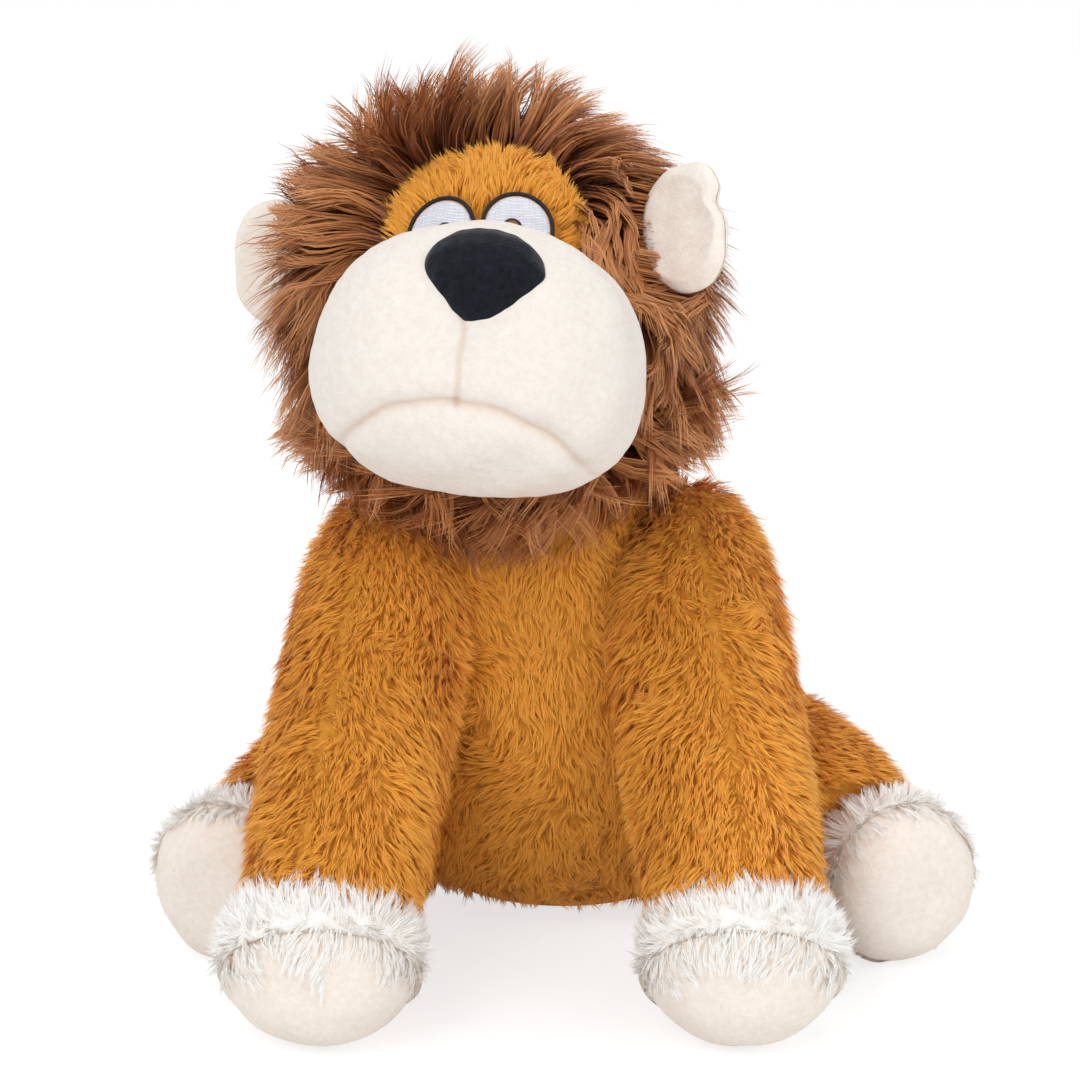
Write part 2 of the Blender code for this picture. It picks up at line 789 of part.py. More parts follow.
def stitched(name, side, radius, proud):
    """An upright oval that stands a little proud of the face."""
    place, look = eye_place(side)
    made = disc(name, MIDDLE, look, radius, EYE_RADIUS + proud, CUTTERS)
    stretch = Matrix.Diagonal((1, 1, EYE_TALL_SHARE, 1))
    made.data.transform(Matrix.Translation(place - look * EYE_RADIUS) @ stretch)
    return made


def make_eyes(face, muzzle_clear):
    """Fill stitches in white, ringed by a satin-stitch outline, with a small round pupil."""
    pieces = []
    for side, name in SIDES:
        place, look = eye_place(side)
        outline_proud = EYE_THICKNESS + EYE_OUTLINE_PROUD
        white = stitched(f"{name}_white", side, EYE_RADIUS, EYE_THICKNESS)
        rim = stitched(f"{name}_rim", side, EYE_RADIUS + EYE_OUTLINE_WIDTH, outline_proud)
        bore = stitched(f"{name}_bore", side, EYE_RADIUS + SEAM_GAP, EYE_RADIUS)
        seat = place - look * EYE_RADIUS - RIGHT * (side * PUPIL_IN) - UP * PUPIL_DROP
        depth = EYE_RADIUS + EYE_THICKNESS + PUPIL_PROUD
        pupil = disc(f"{name}_pupil", seat, look, PUPIL_RADIUS, depth, CUTTERS)
        behind = seat - look * EYE_RADIUS
        hole = disc(f"{name}_pupil_hole", behind, look, PUPIL_RADIUS + SEAM_GAP, 3 * depth, CUTTERS)
        cut(white, hole)
        cut(rim, bore)
        for piece, node, finish in (
            (white, f"eye_{name}_white", "white_thread"),
            (rim, f"eye_{name}_outline", "black_thread"),
            (pupil, f"eye_{name}_pupil", "black_thread"),
        ):
            cut(piece, face)
            cut(piece, muzzle_clear)
            pieces.append(put(piece, node, finish))
    return pieces


def cut_by_neighbours(obj, neighbours):
    """Cuts a piece of the head by the room that it needs over its neighbours."""
    back = HEAD_PLACE.inverted()
    for solid in neighbours:
        cut(obj, frozen(solid, f"{obj.name}_by_{solid.name}", CUTTERS, back))


def cut_by_shoulders(obj):
    """Cuts the mane by each arm where the head meets it, turned towards that arm and nodded forward."""
    back = HEAD_PLACE.inverted()
    nod = about(NECK, RIGHT, -NECK_NOD)
    for side, name in SIDES:
        turn = about(NECK, UP, -side * NECK_TURN)
        arm = arm_form(f"arm_{name}_under_mane", side, SHOULDER_ROOM)
        cut(obj, frozen(arm, f"mane_turned_by_arm_{name}", CUTTERS, back @ nod @ turn))


def ear_frame(side):
    """The ear's root on the head, and the way it sticks out."""
    if side > 0:
        root = Vector((MANE_WIDTH / 2 - LEFT_EAR_SINK, LEFT_EAR_BACK, LEFT_EAR_RISE))
        sweep_back = LEFT_EAR_SWEEP
    else:
        root = Vector((RIGHT_EAR_SINK - MANE_WIDTH / 2, RIGHT_EAR_BACK, RIGHT_EAR_RISE))
        sweep_back = RIGHT_EAR_SWEEP
    out = Vector((side * math.cos(sweep_back), math.sin(sweep_back), 0))
    return root, out


def ear_slot(side, name):
    """The gap in the mane that an ear folds in: a box along the ear, from the head out."""
    root, out = ear_frame(side)
    tallest = max(tall for _, tall, _ in EAR_RING_SHARES)
    height = EAR_ROOT_HEIGHT * tallest + 2 * EAR_ROOM
    depth = EAR_THICKNESS + 2 * math.sin(EAR_FLOP) * EAR_REACH
    bpy.ops.mesh.primitive_cube_add(size=1)
    box = bpy.context.object
    box.data.transform(
        Matrix.Translation(root)
        @ Matrix.Rotation(math.atan2(out.y, out.x), 4, "Z")
        @ Matrix.Diagonal((2 * EAR_REACH, depth, height, 1))
        @ Matrix.Translation(((EAR_REACH - SEAM_GAP) / (2 * EAR_REACH), 0, 0))
    )
    return move_to(box, f"ear_slot_{name}", CUTTERS)


def make_ear(side, name, head_axis):
    """Two velour panels, sewn round the rim and lightly stuffed, each its own half."""
    root, out = ear_frame(side)
    through = Vector((-out.y, out.x, 0)) * side
    places = [root + out * (EAR_REACH * along) for along, _, _ in EAR_RING_SHARES]
    halves = [(EAR_ROOT_HEIGHT / 2 * tall, EAR_THICKNESS / 2 * thick) for _, tall, thick in EAR_RING_SHARES]
    form = soft_form(f"ear_{name}_form", carried_rings(places, halves, UP, LIMB_POINTS))
    back_side = half_space(f"ear_{name}_back_side", root, through)
    front_side = half_space(f"ear_{name}_front_side", root + through * SEAM_GAP, -through)
    pieces = []
    for half, cutter in (("front", back_side), ("back", front_side)):
        panel = cut(frozen(form, f"ear_{name}_{half}_cut", CUTTERS), cutter)
        pieces.append(put(panel, f"ear_{name}_{half}", "cream_velour"))
    hang(f"{name}_ear_axis", HEAD_PLACE @ root, pieces, head_axis)


def make_head(neighbours, neck_seat, neck_axis):
    """A ball of filling, covered in gold plush at the brow and long pile elsewhere, with a muzzle."""
    filling = ball("head_ball", MIDDLE, HEAD_RADIUS, CUTTERS)
    filling_clear = ball("head_ball_clear", MIDDLE, HEAD_RADIUS + SEAM_GAP, CUTTERS)
    face = ball("face_ball", MIDDLE, HEAD_RADIUS + FACE_SWELL, CUTTERS)
    face_clear = ball("face_clear", MIDDLE, HEAD_RADIUS + FACE_SWELL + SEAM_GAP, CUTTERS)
    muzzle = muzzle_form("muzzle_form", 0)
    muzzle_clear = muzzle_form("muzzle_clear", FORM_GAP)
    seat = frozen(neck_seat, "neck_seat_in_head", CUTTERS, HEAD_PLACE.inverted())

    mane = mane_form("mane_form")
    slots = [ear_slot(side, name) for side, name in SIDES]
    for cutter in (brow_form("brow_opening", 0), filling_clear, muzzle_clear, seat, *slots):
        cut(mane, cutter)
    cut_by_neighbours(mane, neighbours)
    cut_by_shoulders(mane)

    patch = cut(frozen(face, "brow_cut", CUTTERS), brow_form("brow_inside", SEAM_GAP), "INTERSECT")
    cut(patch, filling_clear)
    cut(patch, muzzle_clear)

    core = cut(frozen(filling, "head_filling_cut", CUTTERS), muzzle_clear)
    cut(core, seat)
    cut_by_neighbours(core, neighbours[:1])
    pieces = [
        put(mane, "mane", "brown_mane"),
        put(patch, "brow_patch", "gold_plush"),
        put(core, "head_filling", "fibre_filling"),
    ]
    pieces += make_muzzle(muzzle)
    pieces += make_eyes(face_clear, muzzle_clear)
    head_axis = hang("head_nod_axis", NECK, pieces, neck_axis)
    for side, name in SIDES:
        make_ear(side, name, head_axis)


def make_muzzle(muzzle):
    """Two cheeks and a chin, sewn along the middle and along the mouth, and a stuffed nose on top."""
    mouth = askew(UP * (MOUTH_RISE - MOUTH_RADIUS))
    reach = MUZZLE_BACK + 2 * MUZZLE_LENGTH
    across = askew_direction(RIGHT)
    middle = askew(-UP * MUZZLE_DROP)
    chin_side = disc("chin_side", mouth, AHEAD, MOUTH_RADIUS, reach, CUTTERS)
    cheek_side = disc("cheek_side", mouth, AHEAD, MOUTH_RADIUS + SEAM_GAP, reach, CUTTERS)
    pieces = []
    for side, name in SIDES:
        cheek = cut(frozen(muzzle, f"{name}_cheek_cut", CUTTERS), cheek_side)
        seam = middle + across * (side * SEAM_GAP / 2)
        cut(cheek, half_space(f"{name}_cheek_middle", seam, across * -side))
        pieces.append(put(cheek, f"cheek_{name}", "cream_velour"))
    chin = cut(frozen(muzzle, "chin_cut", CUTTERS), chin_side, "INTERSECT")
    pieces.append(put(chin, "chin", "cream_velour"))
    nose = cut(nose_form("nose_form"), muzzle_form("muzzle_seat", SEAM_GAP))
    pieces.append(put(nose, "nose", "black_velour"))
    return pieces


def report():
    """Prints where the joints are, for the record."""
    turn = HEAD_PLACE.to_3x3()
    print("PLACE neck", [round(v, 6) for v in NECK])
    for side, name in SIDES:
        print("PLACE shoulder", name, [round(v, 6) for v in shoulder(side)])
        print("PLACE hip", name, [round(v, 6) for v in hip_seam(side)])
        root, out = ear_frame(side)
        print("PLACE ear", name, [round(v, 6) for v in HEAD_PLACE @ root], [round(v, 6) for v in turn @ UP])
    print("PLACE tail", [round(v, 6) for v in tail_root()])
    print("PLACE head", [round(v, 6) for v in HEAD_CENTRE], [[round(v, 5) for v in row] for row in turn])


def main():
    drop, neck_seat, neck_axis = make_body()
    torso_clear = torso_clearance("torso_clear", SWING_GAP, drop)
    neighbours = [torso_clearance("torso_room", MANE_ROOM, drop)]
    for side, name in SIDES:
        make_arm(side, name, torso_clear)
        make_leg(side, name, torso_clear)
        neighbours.append(arm_form(f"arm_{name}_room", side, MANE_ROOM))
    make_tail(torso_clear)
    make_head(neighbours, neck_seat, neck_axis)
    report()


main()
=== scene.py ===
"""The looks of a sitting plush lion: pile, velour, embroidery and a long-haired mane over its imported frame.

Lengths are in metres. The lion looks along -Y and its own left side is at +X.
"""

import math

import bpy
import numpy as np
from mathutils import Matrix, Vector


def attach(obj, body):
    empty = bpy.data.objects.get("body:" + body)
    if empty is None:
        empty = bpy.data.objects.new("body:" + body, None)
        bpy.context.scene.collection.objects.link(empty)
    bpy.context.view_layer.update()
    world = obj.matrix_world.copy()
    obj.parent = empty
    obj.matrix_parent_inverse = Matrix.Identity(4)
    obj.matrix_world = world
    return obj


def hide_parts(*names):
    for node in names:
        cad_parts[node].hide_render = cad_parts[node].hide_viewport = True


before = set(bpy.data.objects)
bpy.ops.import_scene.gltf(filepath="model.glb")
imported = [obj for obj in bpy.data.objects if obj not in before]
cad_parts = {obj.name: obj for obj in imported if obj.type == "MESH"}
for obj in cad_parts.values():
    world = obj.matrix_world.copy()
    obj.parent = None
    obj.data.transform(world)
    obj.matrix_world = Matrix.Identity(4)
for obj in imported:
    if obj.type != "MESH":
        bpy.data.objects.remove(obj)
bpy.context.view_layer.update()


# The body is a pear of gold plush, cut as panels, sewn at the back and stuffed with fibre over a bag of
# pellets. It leans a little to the lion's right, and the head sits in a hollow at its top.

RIGHT = np.array([1.0, 0.0, 0.0])
BACK = np.array([0.0, 1.0, 0.0])
UP = np.array([0.0, 0.0, 1.0])
SIDES = ((-1, "right"), (1, "left"))

BODY_HEIGHT, BODY_WIDTH, BODY_DEPTH, BODY_LEAN = 0.158, 0.124, 0.102, -0.012
BODY_SINK = 0.001
# rise, half width, half depth and lean of each ring, as shares of the sizes above
BODY_RINGS = (
    (0.00, 0.44, 0.38, 0.00),
    (0.08, 0.84, 0.74, 0.00),
    (0.28, 1.05, 1.02, 0.00),
    (0.52, 0.98, 0.96, 0.20),
    (0.78, 0.76, 0.76, 0.70),
    (0.95, 0.60, 0.62, 1.00),
    (1.00, 0.36, 0.38, 1.00),
)
# how deep the underpile's top lies in the pile, and how far a limb's cover stays from the body's
PILE_DEPTH, COVER_GAP = 0.0020, 0.0012
NECK = np.array([-0.012, -0.006, 0.148])
NECK_HOLLOW = 0.0312
FLOOR_GAP = 0.0004

# where the arms' middle lines run, so that the body's pile stays off what they cover
SHOULDERS = {-1: np.array([-0.050, -0.020, 0.113]), 1: np.array([0.036, -0.020, 0.113])}
PAWS = {-1: np.array([-0.068, -0.104, 0.0255]), 1: np.array([0.049, -0.104, 0.0255])}
ARM_RADIUS = 0.0255


def unit(v):
    return v / np.maximum(np.linalg.norm(v, axis=-1, keepdims=True), 1e-12)


def spline_shares(count, at, closed):
    """Each place takes a share of its four nearest control points, by the uniform cubic B-spline."""
    at = np.asarray(at, float)
    x = at % 1 * count if closed else np.clip(at, 0, 1) * (count - 3)
    first = np.minimum(x.astype(int), count - 1 if closed else count - 4)
    f = x - first
    near = ((1 - f) ** 3, 3 * f**3 - 6 * f**2 + 4, -3 * f**3 + 3 * f**2 + 3 * f + 1, f**3)
    shares = np.zeros((len(at), count))
    for k, share in enumerate(near):
        shares[np.arange(len(at)), (first + k - closed) % count] = share / 6
    return shares


def place(cage, s, t):
    """Points of the smooth surface over a cage of rings: s runs along the rings and t round them."""
    along, around = spline_shares(len(cage), s, False), spline_shares(cage.shape[1], t, True)
    return np.einsum("km,kmc->kc", around, np.einsum("kn,nmc->kmc", along, cage))


def directions(cage, s, t):
    """The ways along and round a surface, from places a little apart, and the way out, square to both."""
    s = np.clip(s, 0.004, 0.996)
    along = place(cage, s + 1e-3, t) - place(cage, s - 1e-3, t)
    around = place(cage, s, t + 1e-3) - place(cage, s, t - 1e-3)
    return unit(along), unit(around), unit(np.cross(around, along))


def oval(centre, across, up, half_across, half_up, points=14):
    """A ring of control points whose spline is an oval of that size."""
    swell = 3 / (2 + math.cos(math.tau / points))
    turn = np.arange(points)[:, None] / points * math.tau
    return centre + swell * (half_across * np.cos(turn) * across + half_up * np.sin(turn) * up)


def closed_ends(rings):
    """Rings closed at both ends by about half a ring and a point, which counts three times so it is met."""
    rings = np.array(rings)
    low, high = rings[0].mean(0), rings[-1].mean(0)
    start = [low + 0 * rings[0]] * 3 + [low + 0.55 * (rings[0] - low)]
    end = [high + 0.55 * (rings[-1] - high)] + [high + 0 * rings[-1]] * 3
    return np.array([*start, *rings, *end])


def body_cage(grow):
    """The body's rings, one over another, all grown by the same amount."""
    rings = []
    for rise, wide, deep, lean in BODY_RINGS:
        end = {0.0: -grow, 1.0: grow}.get(rise, 0)
        centre = np.array([BODY_LEAN * lean, 0, BODY_HEIGHT * rise - BODY_SINK + end])
        rings.append(oval(centre, RIGHT, BACK, BODY_WIDTH / 2 * wide + grow, BODY_DEPTH / 2 * deep + grow))
    return closed_ends(rings)


def ring_faces(rows, columns):
    """Faces over rings of points, numbered from a first point, ring by ring, to a last one."""
    row, column = np.meshgrid(np.arange(rows - 1), np.arange(columns), indexing="ij")
    low, after, ring = 1 + row * columns, (column + 1) % columns, np.arange(columns)
    high = low + columns
    quads = np.stack([low + column, low + after, high + after, high + column], -1).reshape(-1, 4)
    last, beside = 1 + (rows - 1) * columns, (ring + 1) % columns
    start = np.stack([0 * ring, 1 + beside, 1 + ring], -1)
    end = np.stack([0 * ring + last + columns, last + ring, last + beside], -1)
    return [quads, start, end]


def cover_grid(cage, rows, columns):
    """A surface as points, the way out at each and faces: rows of points between a first and a last one."""
    s = np.concatenate([[0], np.repeat(np.linspace(0, 1, rows + 2)[1:-1], columns), [1]])
    t = np.concatenate([[0], np.tile(np.arange(columns) / columns, rows), [0]])
    return place(cage, s, t), directions(cage, s, t)[2], ring_faces(rows, columns)


def put(name, data):
    """An object of that name with that data, in the scene."""
    made = bpy.data.objects.new(name, data)
    bpy.context.scene.collection.objects.link(made)
    return made


def shown(name, points, faces, finish, body, maps=None, marks=(), lit=None):
    """A piece from arrays of points and faces. maps places each point in the material, marks names more
    values for each point, and lit is the way each point is lit from, where that isn't its own."""
    corners = np.concatenate([f.ravel() for f in faces]).astype(np.int32)
    counts = np.concatenate([np.full(len(f), f.shape[1]) for f in faces])
    starts = np.concatenate([[0], np.cumsum(counts)[:-1]]).astype(np.int32)
    mesh = bpy.data.meshes.new(name)
    mesh.vertices.add(len(points))
    mesh.vertices.foreach_set("co", points.astype(np.float32).ravel())
    mesh.loops.add(len(corners))
    mesh.loops.foreach_set("vertex_index", corners)
    mesh.polygons.add(len(counts))
    mesh.polygons.foreach_set("loop_start", starts)
    mesh.polygons.foreach_set("use_smooth", np.ones(len(counts), bool))
    if maps is not None:
        mesh.uv_layers.new(name="OFBake").uv.foreach_set("vector", maps[corners].astype(np.float32).ravel())
    for mark, values in dict(marks).items():
        mesh.attributes.new(mark, "FLOAT", "POINT").data.foreach_set("value", values.astype(np.float32))
    if lit is not None:
        normals = mesh.attributes.new("custom_normal", "FLOAT_VECTOR", "POINT")
        normals.data.foreach_set("vector", lit.astype(np.float32).ravel())
    mesh.update(calc_edges=True)
    mesh.materials.append(finish)
    piece = put(name, mesh)
    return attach(piece, body)


def add(tree, kind, inputs=(), **settings):
    """Adds a node to a material, with its settings, and gives its inputs values or links from others."""
    made = tree.nodes.new(kind)
    for name, value in settings.items():
        setattr(made, name, value)
    for name, value in dict(inputs).items():
        if isinstance(value, bpy.types.NodeSocket):
            tree.links.new(value, made.inputs[name])
        else:
            made.inputs[name].default_value = value
    return made


def linear(colour):
    """An sRGB hex colour as linear numbers: a channel is divided by 12.92 below 0.04045, and above it has
    0.055 added, is divided by 1.055 and is raised to 2.4."""
    channels = [int(colour[i : i + 2], 16) / 255 for i in (1, 3, 5)]
    return (*[c / 12.92 if c <= 0.04045 else ((c + 0.055) / 1.055) ** 2.4 for c in channels], 1)


def ramp(tree, fac, colours, low=0.0, high=1.0):
    """A colour ramp with its colours evenly from low to high."""
    made = add(tree, "ShaderNodeValToRGB", {"Fac": fac})
    while len(made.color_ramp.elements) < len(colours):
        made.color_ramp.elements.new(1)
    for i, (element, colour) in enumerate(zip(made.color_ramp.elements, colours)):
        element.position = low + (high - low) * i / (len(colours) - 1)
        element.color = linear(colour)
    return made.outputs["Color"]


def material(name, **settings):
    """A material with its shader's plain settings: its nodes, that shader and itself."""
    made = bpy.data.materials.new(name)
    made.use_nodes = True
    shader = made.node_tree.nodes["Principled BSDF"]
    for socket, value in settings.items():
        shader.inputs[socket.replace("_", " ")].default_value = value
    return made.node_tree, shader, made


def pile_finish(name, dull, bright, **settings):
    """Pile whose fibres run from a root darkened with painted shade, for the shade deep in the pile, to a
    paler tip.
    The dye varies from fibre to fibre, between the dullest and the brightest, which are both given from root
    to tip."""
    tree, shader, made = material(name, Specular_IOR_Level=0.3, **settings)
    at = add(tree, "ShaderNodeSeparateXYZ", {0: add(tree, "ShaderNodeUVMap", uv_map="OFBake").outputs[0]})
    # both ramps darken towards the root: painted shade deep in the pile
    low, high = (ramp(tree, at.outputs["Y"], colours) for colours in (dull, bright))
    dyed = add(tree, "ShaderNodeMix", {0: at.outputs["X"], 6: low, 7: high}, data_type="RGBA")
    tree.links.new(dyed.outputs[2], shader.inputs["Base Color"])
    return made


UNDERPILE_GRAIN = 0.0007


def underpile_finish(name, low, high):
    """The short dense pile that fills the cloth between the longer fibres: seen end on, it is a fine grain,
    a little uneven in colour and dull."""
    tree, shader, made = material(name, Roughness=0.95)
    spot = add(tree, "ShaderNodeTexCoord").outputs["Object"]
    grain = add(tree, "ShaderNodeTexVoronoi", {"Vector": spot, "Scale": 1 / UNDERPILE_GRAIN})
    patchy = add(tree, "ShaderNodeTexNoise", {"Vector": spot, "Scale": 300.0, "Detail": 4.0})
    tree.links.new(ramp(tree, patchy.outputs["Fac"], (low, high), 0.35, 0.65), shader.inputs["Base Color"])
    bump = add(tree, "ShaderNodeBump", {"Height": grain.outputs["Distance"], "Distance": 0.0003})
    tree.links.new(bump.outputs["Normal"], shader.inputs["Normal"])
    return made


def drift(points, size, seed):
    """A random way that changes smoothly from place to place: the sum of nine sine waves about size long."""
    rng = np.random.default_rng(seed)
    total = np.zeros_like(points)
    for _ in range(9):
        way = unit(rng.normal(size=3)) * math.tau / size * rng.uniform(0.6, 1.5)
        total += np.sin(points @ way + rng.uniform(0, math.tau))[:, None] * rng.normal(size=3)
    return total / 3


def scattered(cage, spacing, seed):
    """Places over a surface, about spacing apart: cells of a fine grid are drawn by their area, in turn."""
    rng = np.random.default_rng(seed)
    rows, columns = 160, 160
    edge, round_ = np.linspace(0.001, 0.999, rows + 1), np.arange(columns + 1) / columns
    points = place(cage, np.repeat(edge, columns + 1), np.tile(round_, rows + 1))
    points = points.reshape(rows + 1, columns + 1, 3)
    down, over = points[1:, :-1] - points[:-1, :-1], points[:-1, 1:] - points[:-1, :-1]
    area = np.cumsum(np.linalg.norm(np.cross(down, over), axis=-1).ravel())
    count = int(area[-1] / spacing**2)
    cell = np.searchsorted(area, (np.arange(count) + rng.random(count)) / count * area[-1])
    cell = np.minimum(cell, rows * columns - 1)
    s = edge[cell // columns] + rng.random(count) * (edge[1] - edge[0])
    return s, (cell % columns + rng.random(count)) / columns


def sown(cage, spacing, seed):
    """Roots over a surface, the ways along it, round it and out of it at each, and its place round."""
    s, t = scattered(cage, spacing, seed)
    return place(cage, s, t), *directions(cage, s, t), t


def tufts(
    roots, out, comb, seed, fibres, spread, length, lay, gather, curl=0.0, cycles=1.0, rows=3, stray=0.12
):
    """Middle lines of pile fibres. Each tuft has a root, a way out of the cloth and a way it is combed.

    A fibre leaves the cloth at the first lay angle from the way out and ends at the second. Its root lies
    within spread of the tuft's, and it has closed on the tuft's own line by gather at its tip. curl swings
    the tuft from side to side, cycles times. Four fibres make a strand, and stray is how far a strand's tip
    wanders by itself.
    """
    rng = np.random.default_rng(seed)
    count, strands = len(roots), -(-fibres // 4)
    comb = unit(comb - out * (comb * out).sum(-1, keepdims=True))
    side = np.cross(out, comb)

    def beside(number):
        """Places spread evenly over a disc round each root."""
        reach, turn = np.sqrt(rng.random((count, number, 1))), rng.random((count, number, 1)) * math.tau
        return (comb[:, None] * np.cos(turn) + side[:, None] * np.sin(turn)) * reach

    def shared(values):
        """Each strand's value, for each of its fibres."""
        return np.repeat(values, 4, 1)[:, :fibres]

    v = np.linspace(0, 1, rows)
    low, high = (np.broadcast_to(angle, (count,))[:, None] for angle in lay)
    angle = low + (high - low) * (v[1:] + v[:-1]) / 2
    rise, run = (np.pad(np.cumsum(f(angle), 1), ((0, 0), (1, 0))) / (rows - 1) for f in (np.cos, np.sin))
    swing = curl * np.sin(math.tau * (cycles * v + rng.random((count, 1)))) * v
    line = out[:, None] * rise[..., None] + comb[:, None] * run[..., None] + side[:, None] * swing[..., None]
    off = (0.8 * shared(beside(strands)) + 0.3 * beside(fibres)) * spread
    own = shared(rng.uniform(0.74, 1.04, (count, strands))) * rng.uniform(0.9, 1.06, (count, fibres))
    own = (np.broadcast_to(length, (count,))[:, None] * own)[..., None, None]
    wander = shared(rng.normal(size=(count, strands, 1, 3))) + 0.35 * rng.normal(size=(count, fibres, 1, 3))
    wander = wander * stray * own * (v**1.5)[:, None]
    close = (1 - gather * v**1.2)[:, None]
    lines = (roots - out * 0.0006)[:, None, None] + off[:, :, None] * close + line[:, None] * own + wander
    flat = np.repeat(out, fibres, 0) + rng.normal(size=(count * fibres, 3)) * 0.3
    return lines.reshape(-1, rows, 3), flat


def fibres_mesh(lines, flat, width, tone):
    """Each fibre is a flat ribbon that narrows to its tip. It is placed in its material by its dye across
    and from root to tip up. The ways it may be lit from are half its own and half its cloth's."""
    rows = lines.shape[1]
    v = np.linspace(0, 1, rows)[:-1]
    along = np.gradient(lines, axis=1)
    half = np.broadcast_to(width, (len(lines),))[:, None] / 2 * (1 - 0.55 * v**2)
    side = unit(np.cross(along[:, :-1], flat[:, None])) * half[..., None]
    own = unit(flat[:, None] - along * ((along * flat[:, None]).sum(-1) / (along**2).sum(-1))[..., None])
    edges = np.stack([lines[:, :-1] - side, lines[:, :-1] + side], 2).reshape(len(lines), -1, 3)
    points = np.concatenate([edges, lines[:, -1:]], 1).reshape(-1, 3)
    lit = unit(unit(flat)[:, None] + np.concatenate([np.repeat(own[:, :-1], 2, 1), own[:, -1:]], 1))
    first = np.arange(len(lines))[:, None] * (2 * rows - 1)
    quads = [first + 2 * k + np.array([0, 1, 3, 2]) for k in range(rows - 2)]
    tip = first + 2 * (rows - 2) + np.array([0, 1, 2])
    across = np.concatenate([np.tile([-0.008, 0.008], rows - 1), [0]])
    up = np.concatenate([np.repeat(v, 2), [1]])
    maps = np.stack(np.broadcast_arrays(np.clip(tone, 0.02, 0.98)[:, None] + across, up), -1)
    return points, [np.concatenate(quads), tip], maps.reshape(-1, 2), lit.reshape(-1, 3)


def pile(name, lines, flat, width, tone, finish, body):
    """Pile as one piece, or as several where it has very many fibres."""
    parts = -(-len(lines) * (2 * lines.shape[1] - 3) // 190000)
    for i in range(parts):
        some = slice(i, None, parts)
        points, faces, maps, lit = fibres_mesh(lines[some], flat[some], width, tone[some])
        part = f"{name}_{i + 1}" if parts > 1 else name
        shown(part, points, faces, finish, body, maps, lit=lit)


def dye(points, size, seed, fibres, middle=0.5, patchy=0.16, mixed=0.16):
    """The tone of each fibre, 0 dull to 1 bright: it varies by tuft, in patches size wide, and by fibre."""
    rng = np.random.default_rng(seed)
    tone = middle + patchy * drift(points, size, seed + 1)[:, 0]
    return np.clip(tone[:, None] + rng.normal(size=(len(points), fibres)) * mixed, 0, 1).ravel()


def body_section(z, grow):
    """Middle, half width and half depth of the body's section at each height."""
    s = np.linspace(0, 1, 120)
    east, north, west = (place(body_cage(grow), s, 0 * s + t) for t in (0, 0.25, 0.5))
    spans = ((east + west)[:, 0] / 2, (east - west)[:, 0] / 2, north[:, 1])
    return [np.interp(z, east[:, 2], span) for span in spans]


def clear_of_body(points, grow):
    """Points inside the grown body move out level, away from its middle, to its surface."""
    middle, wide, deep = body_section(points[:, 2], grow)
    off = points[:, :2] - np.stack([middle, 0 * middle], -1)
    level = np.hypot(off[:, 0] / np.maximum(wide, 1e-6), off[:, 1] / np.maximum(deep, 1e-6))
    out = points.copy()
    out[:, :2] += off * (1 / np.clip(level, 1e-3, 1) - 1)[:, None]
    return out


def off_body(points, grow):
    """Whether each point is outside the grown body."""
    return np.abs(clear_of_body(points, grow) - points).max(1) < 1e-6


def from_line(points, start, end):
    """How far each point is from a straight line between two others, and the nearest place on that line."""
    way = end - start
    near = start + np.clip((points - start) @ way / (way @ way), 0, 1)[:, None] * way
    return np.linalg.norm(points - near, axis=-1), near


def behind(points, at, way, room=0.0):
    """Points past a plane move straight back to it, which leaves a flat face there."""
    past = np.maximum((points - at) @ way + room, 0)
    return points - past[:, None] * way


def hollowed(points):
    """The top of the body dips under the neck's ball, as far out as the ball reaches."""
    off = points - NECK
    reach = np.hypot(off[:, 0], off[:, 1])
    dip = NECK[2] - np.sqrt(np.maximum(NECK_HOLLOW**2 - reach**2, 0))
    low = (reach < NECK_HOLLOW) & (points[:, 2] > dip) & (points[:, 2] > 0.1)
    out = points.copy()
    out[low, 2] = dip[low]
    return out


# Acrylic plush is soft and dense. Each fibre is painted darker towards its root, as painted shade of the
# depths between the fibres, and runs to a paler, more yellow tip.
GOLD_PILE = pile_finish(
    "Acrylic plush pile, gold",
    ("#b26d16", "#dc9025", "#ea9f31", "#eea939"),
    ("#ce8720", "#f2a735", "#ffbb49", "#ffc75a"),
    Roughness=0.6,
    Sheen_Weight=0.15,
)
GOLD_UNDERPILE = underpile_finish("Acrylic underpile, gold", "#c07a20", "#da9630")
GOLD_LENGTH, GOLD_WIDTH, GOLD_SPACING, GOLD_FIBRES, GOLD_SPREAD = 0.0068, 0.00030, 0.0020, 11, 0.0019
GOLD_LAY, GOLD_GATHER, GOLD_CURL = (0.90, 1.45), 0.2, 0.06
# the pile is a little longer on the arms and legs, and stands up more
LIMB_LENGTH, LIMB_LAY = 0.0078, (0.75, 1.36)


def off_floor(points):
    """Points below the floor's gap move up to it."""
    level = np.maximum(points[..., 2:], FLOOR_GAP)
    return np.concatenate([points[..., :2], level], -1)


def gold_tufts(roots, out, comb, seed, length, lay):
    """Tufts of the gold pile, none of them through the floor."""
    lines, flat = tufts(
        roots, out, comb, seed, GOLD_FIBRES, GOLD_SPREAD, length, lay, GOLD_GATHER, GOLD_CURL
    )
    return off_floor(lines), flat


points, _, faces = cover_grid(body_cage(-PILE_DEPTH), 90, 130)
points = off_floor(hollowed(points))
body_backing = shown("body_backing", points, faces, GOLD_UNDERPILE, "trunk")
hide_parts("torso_cover")

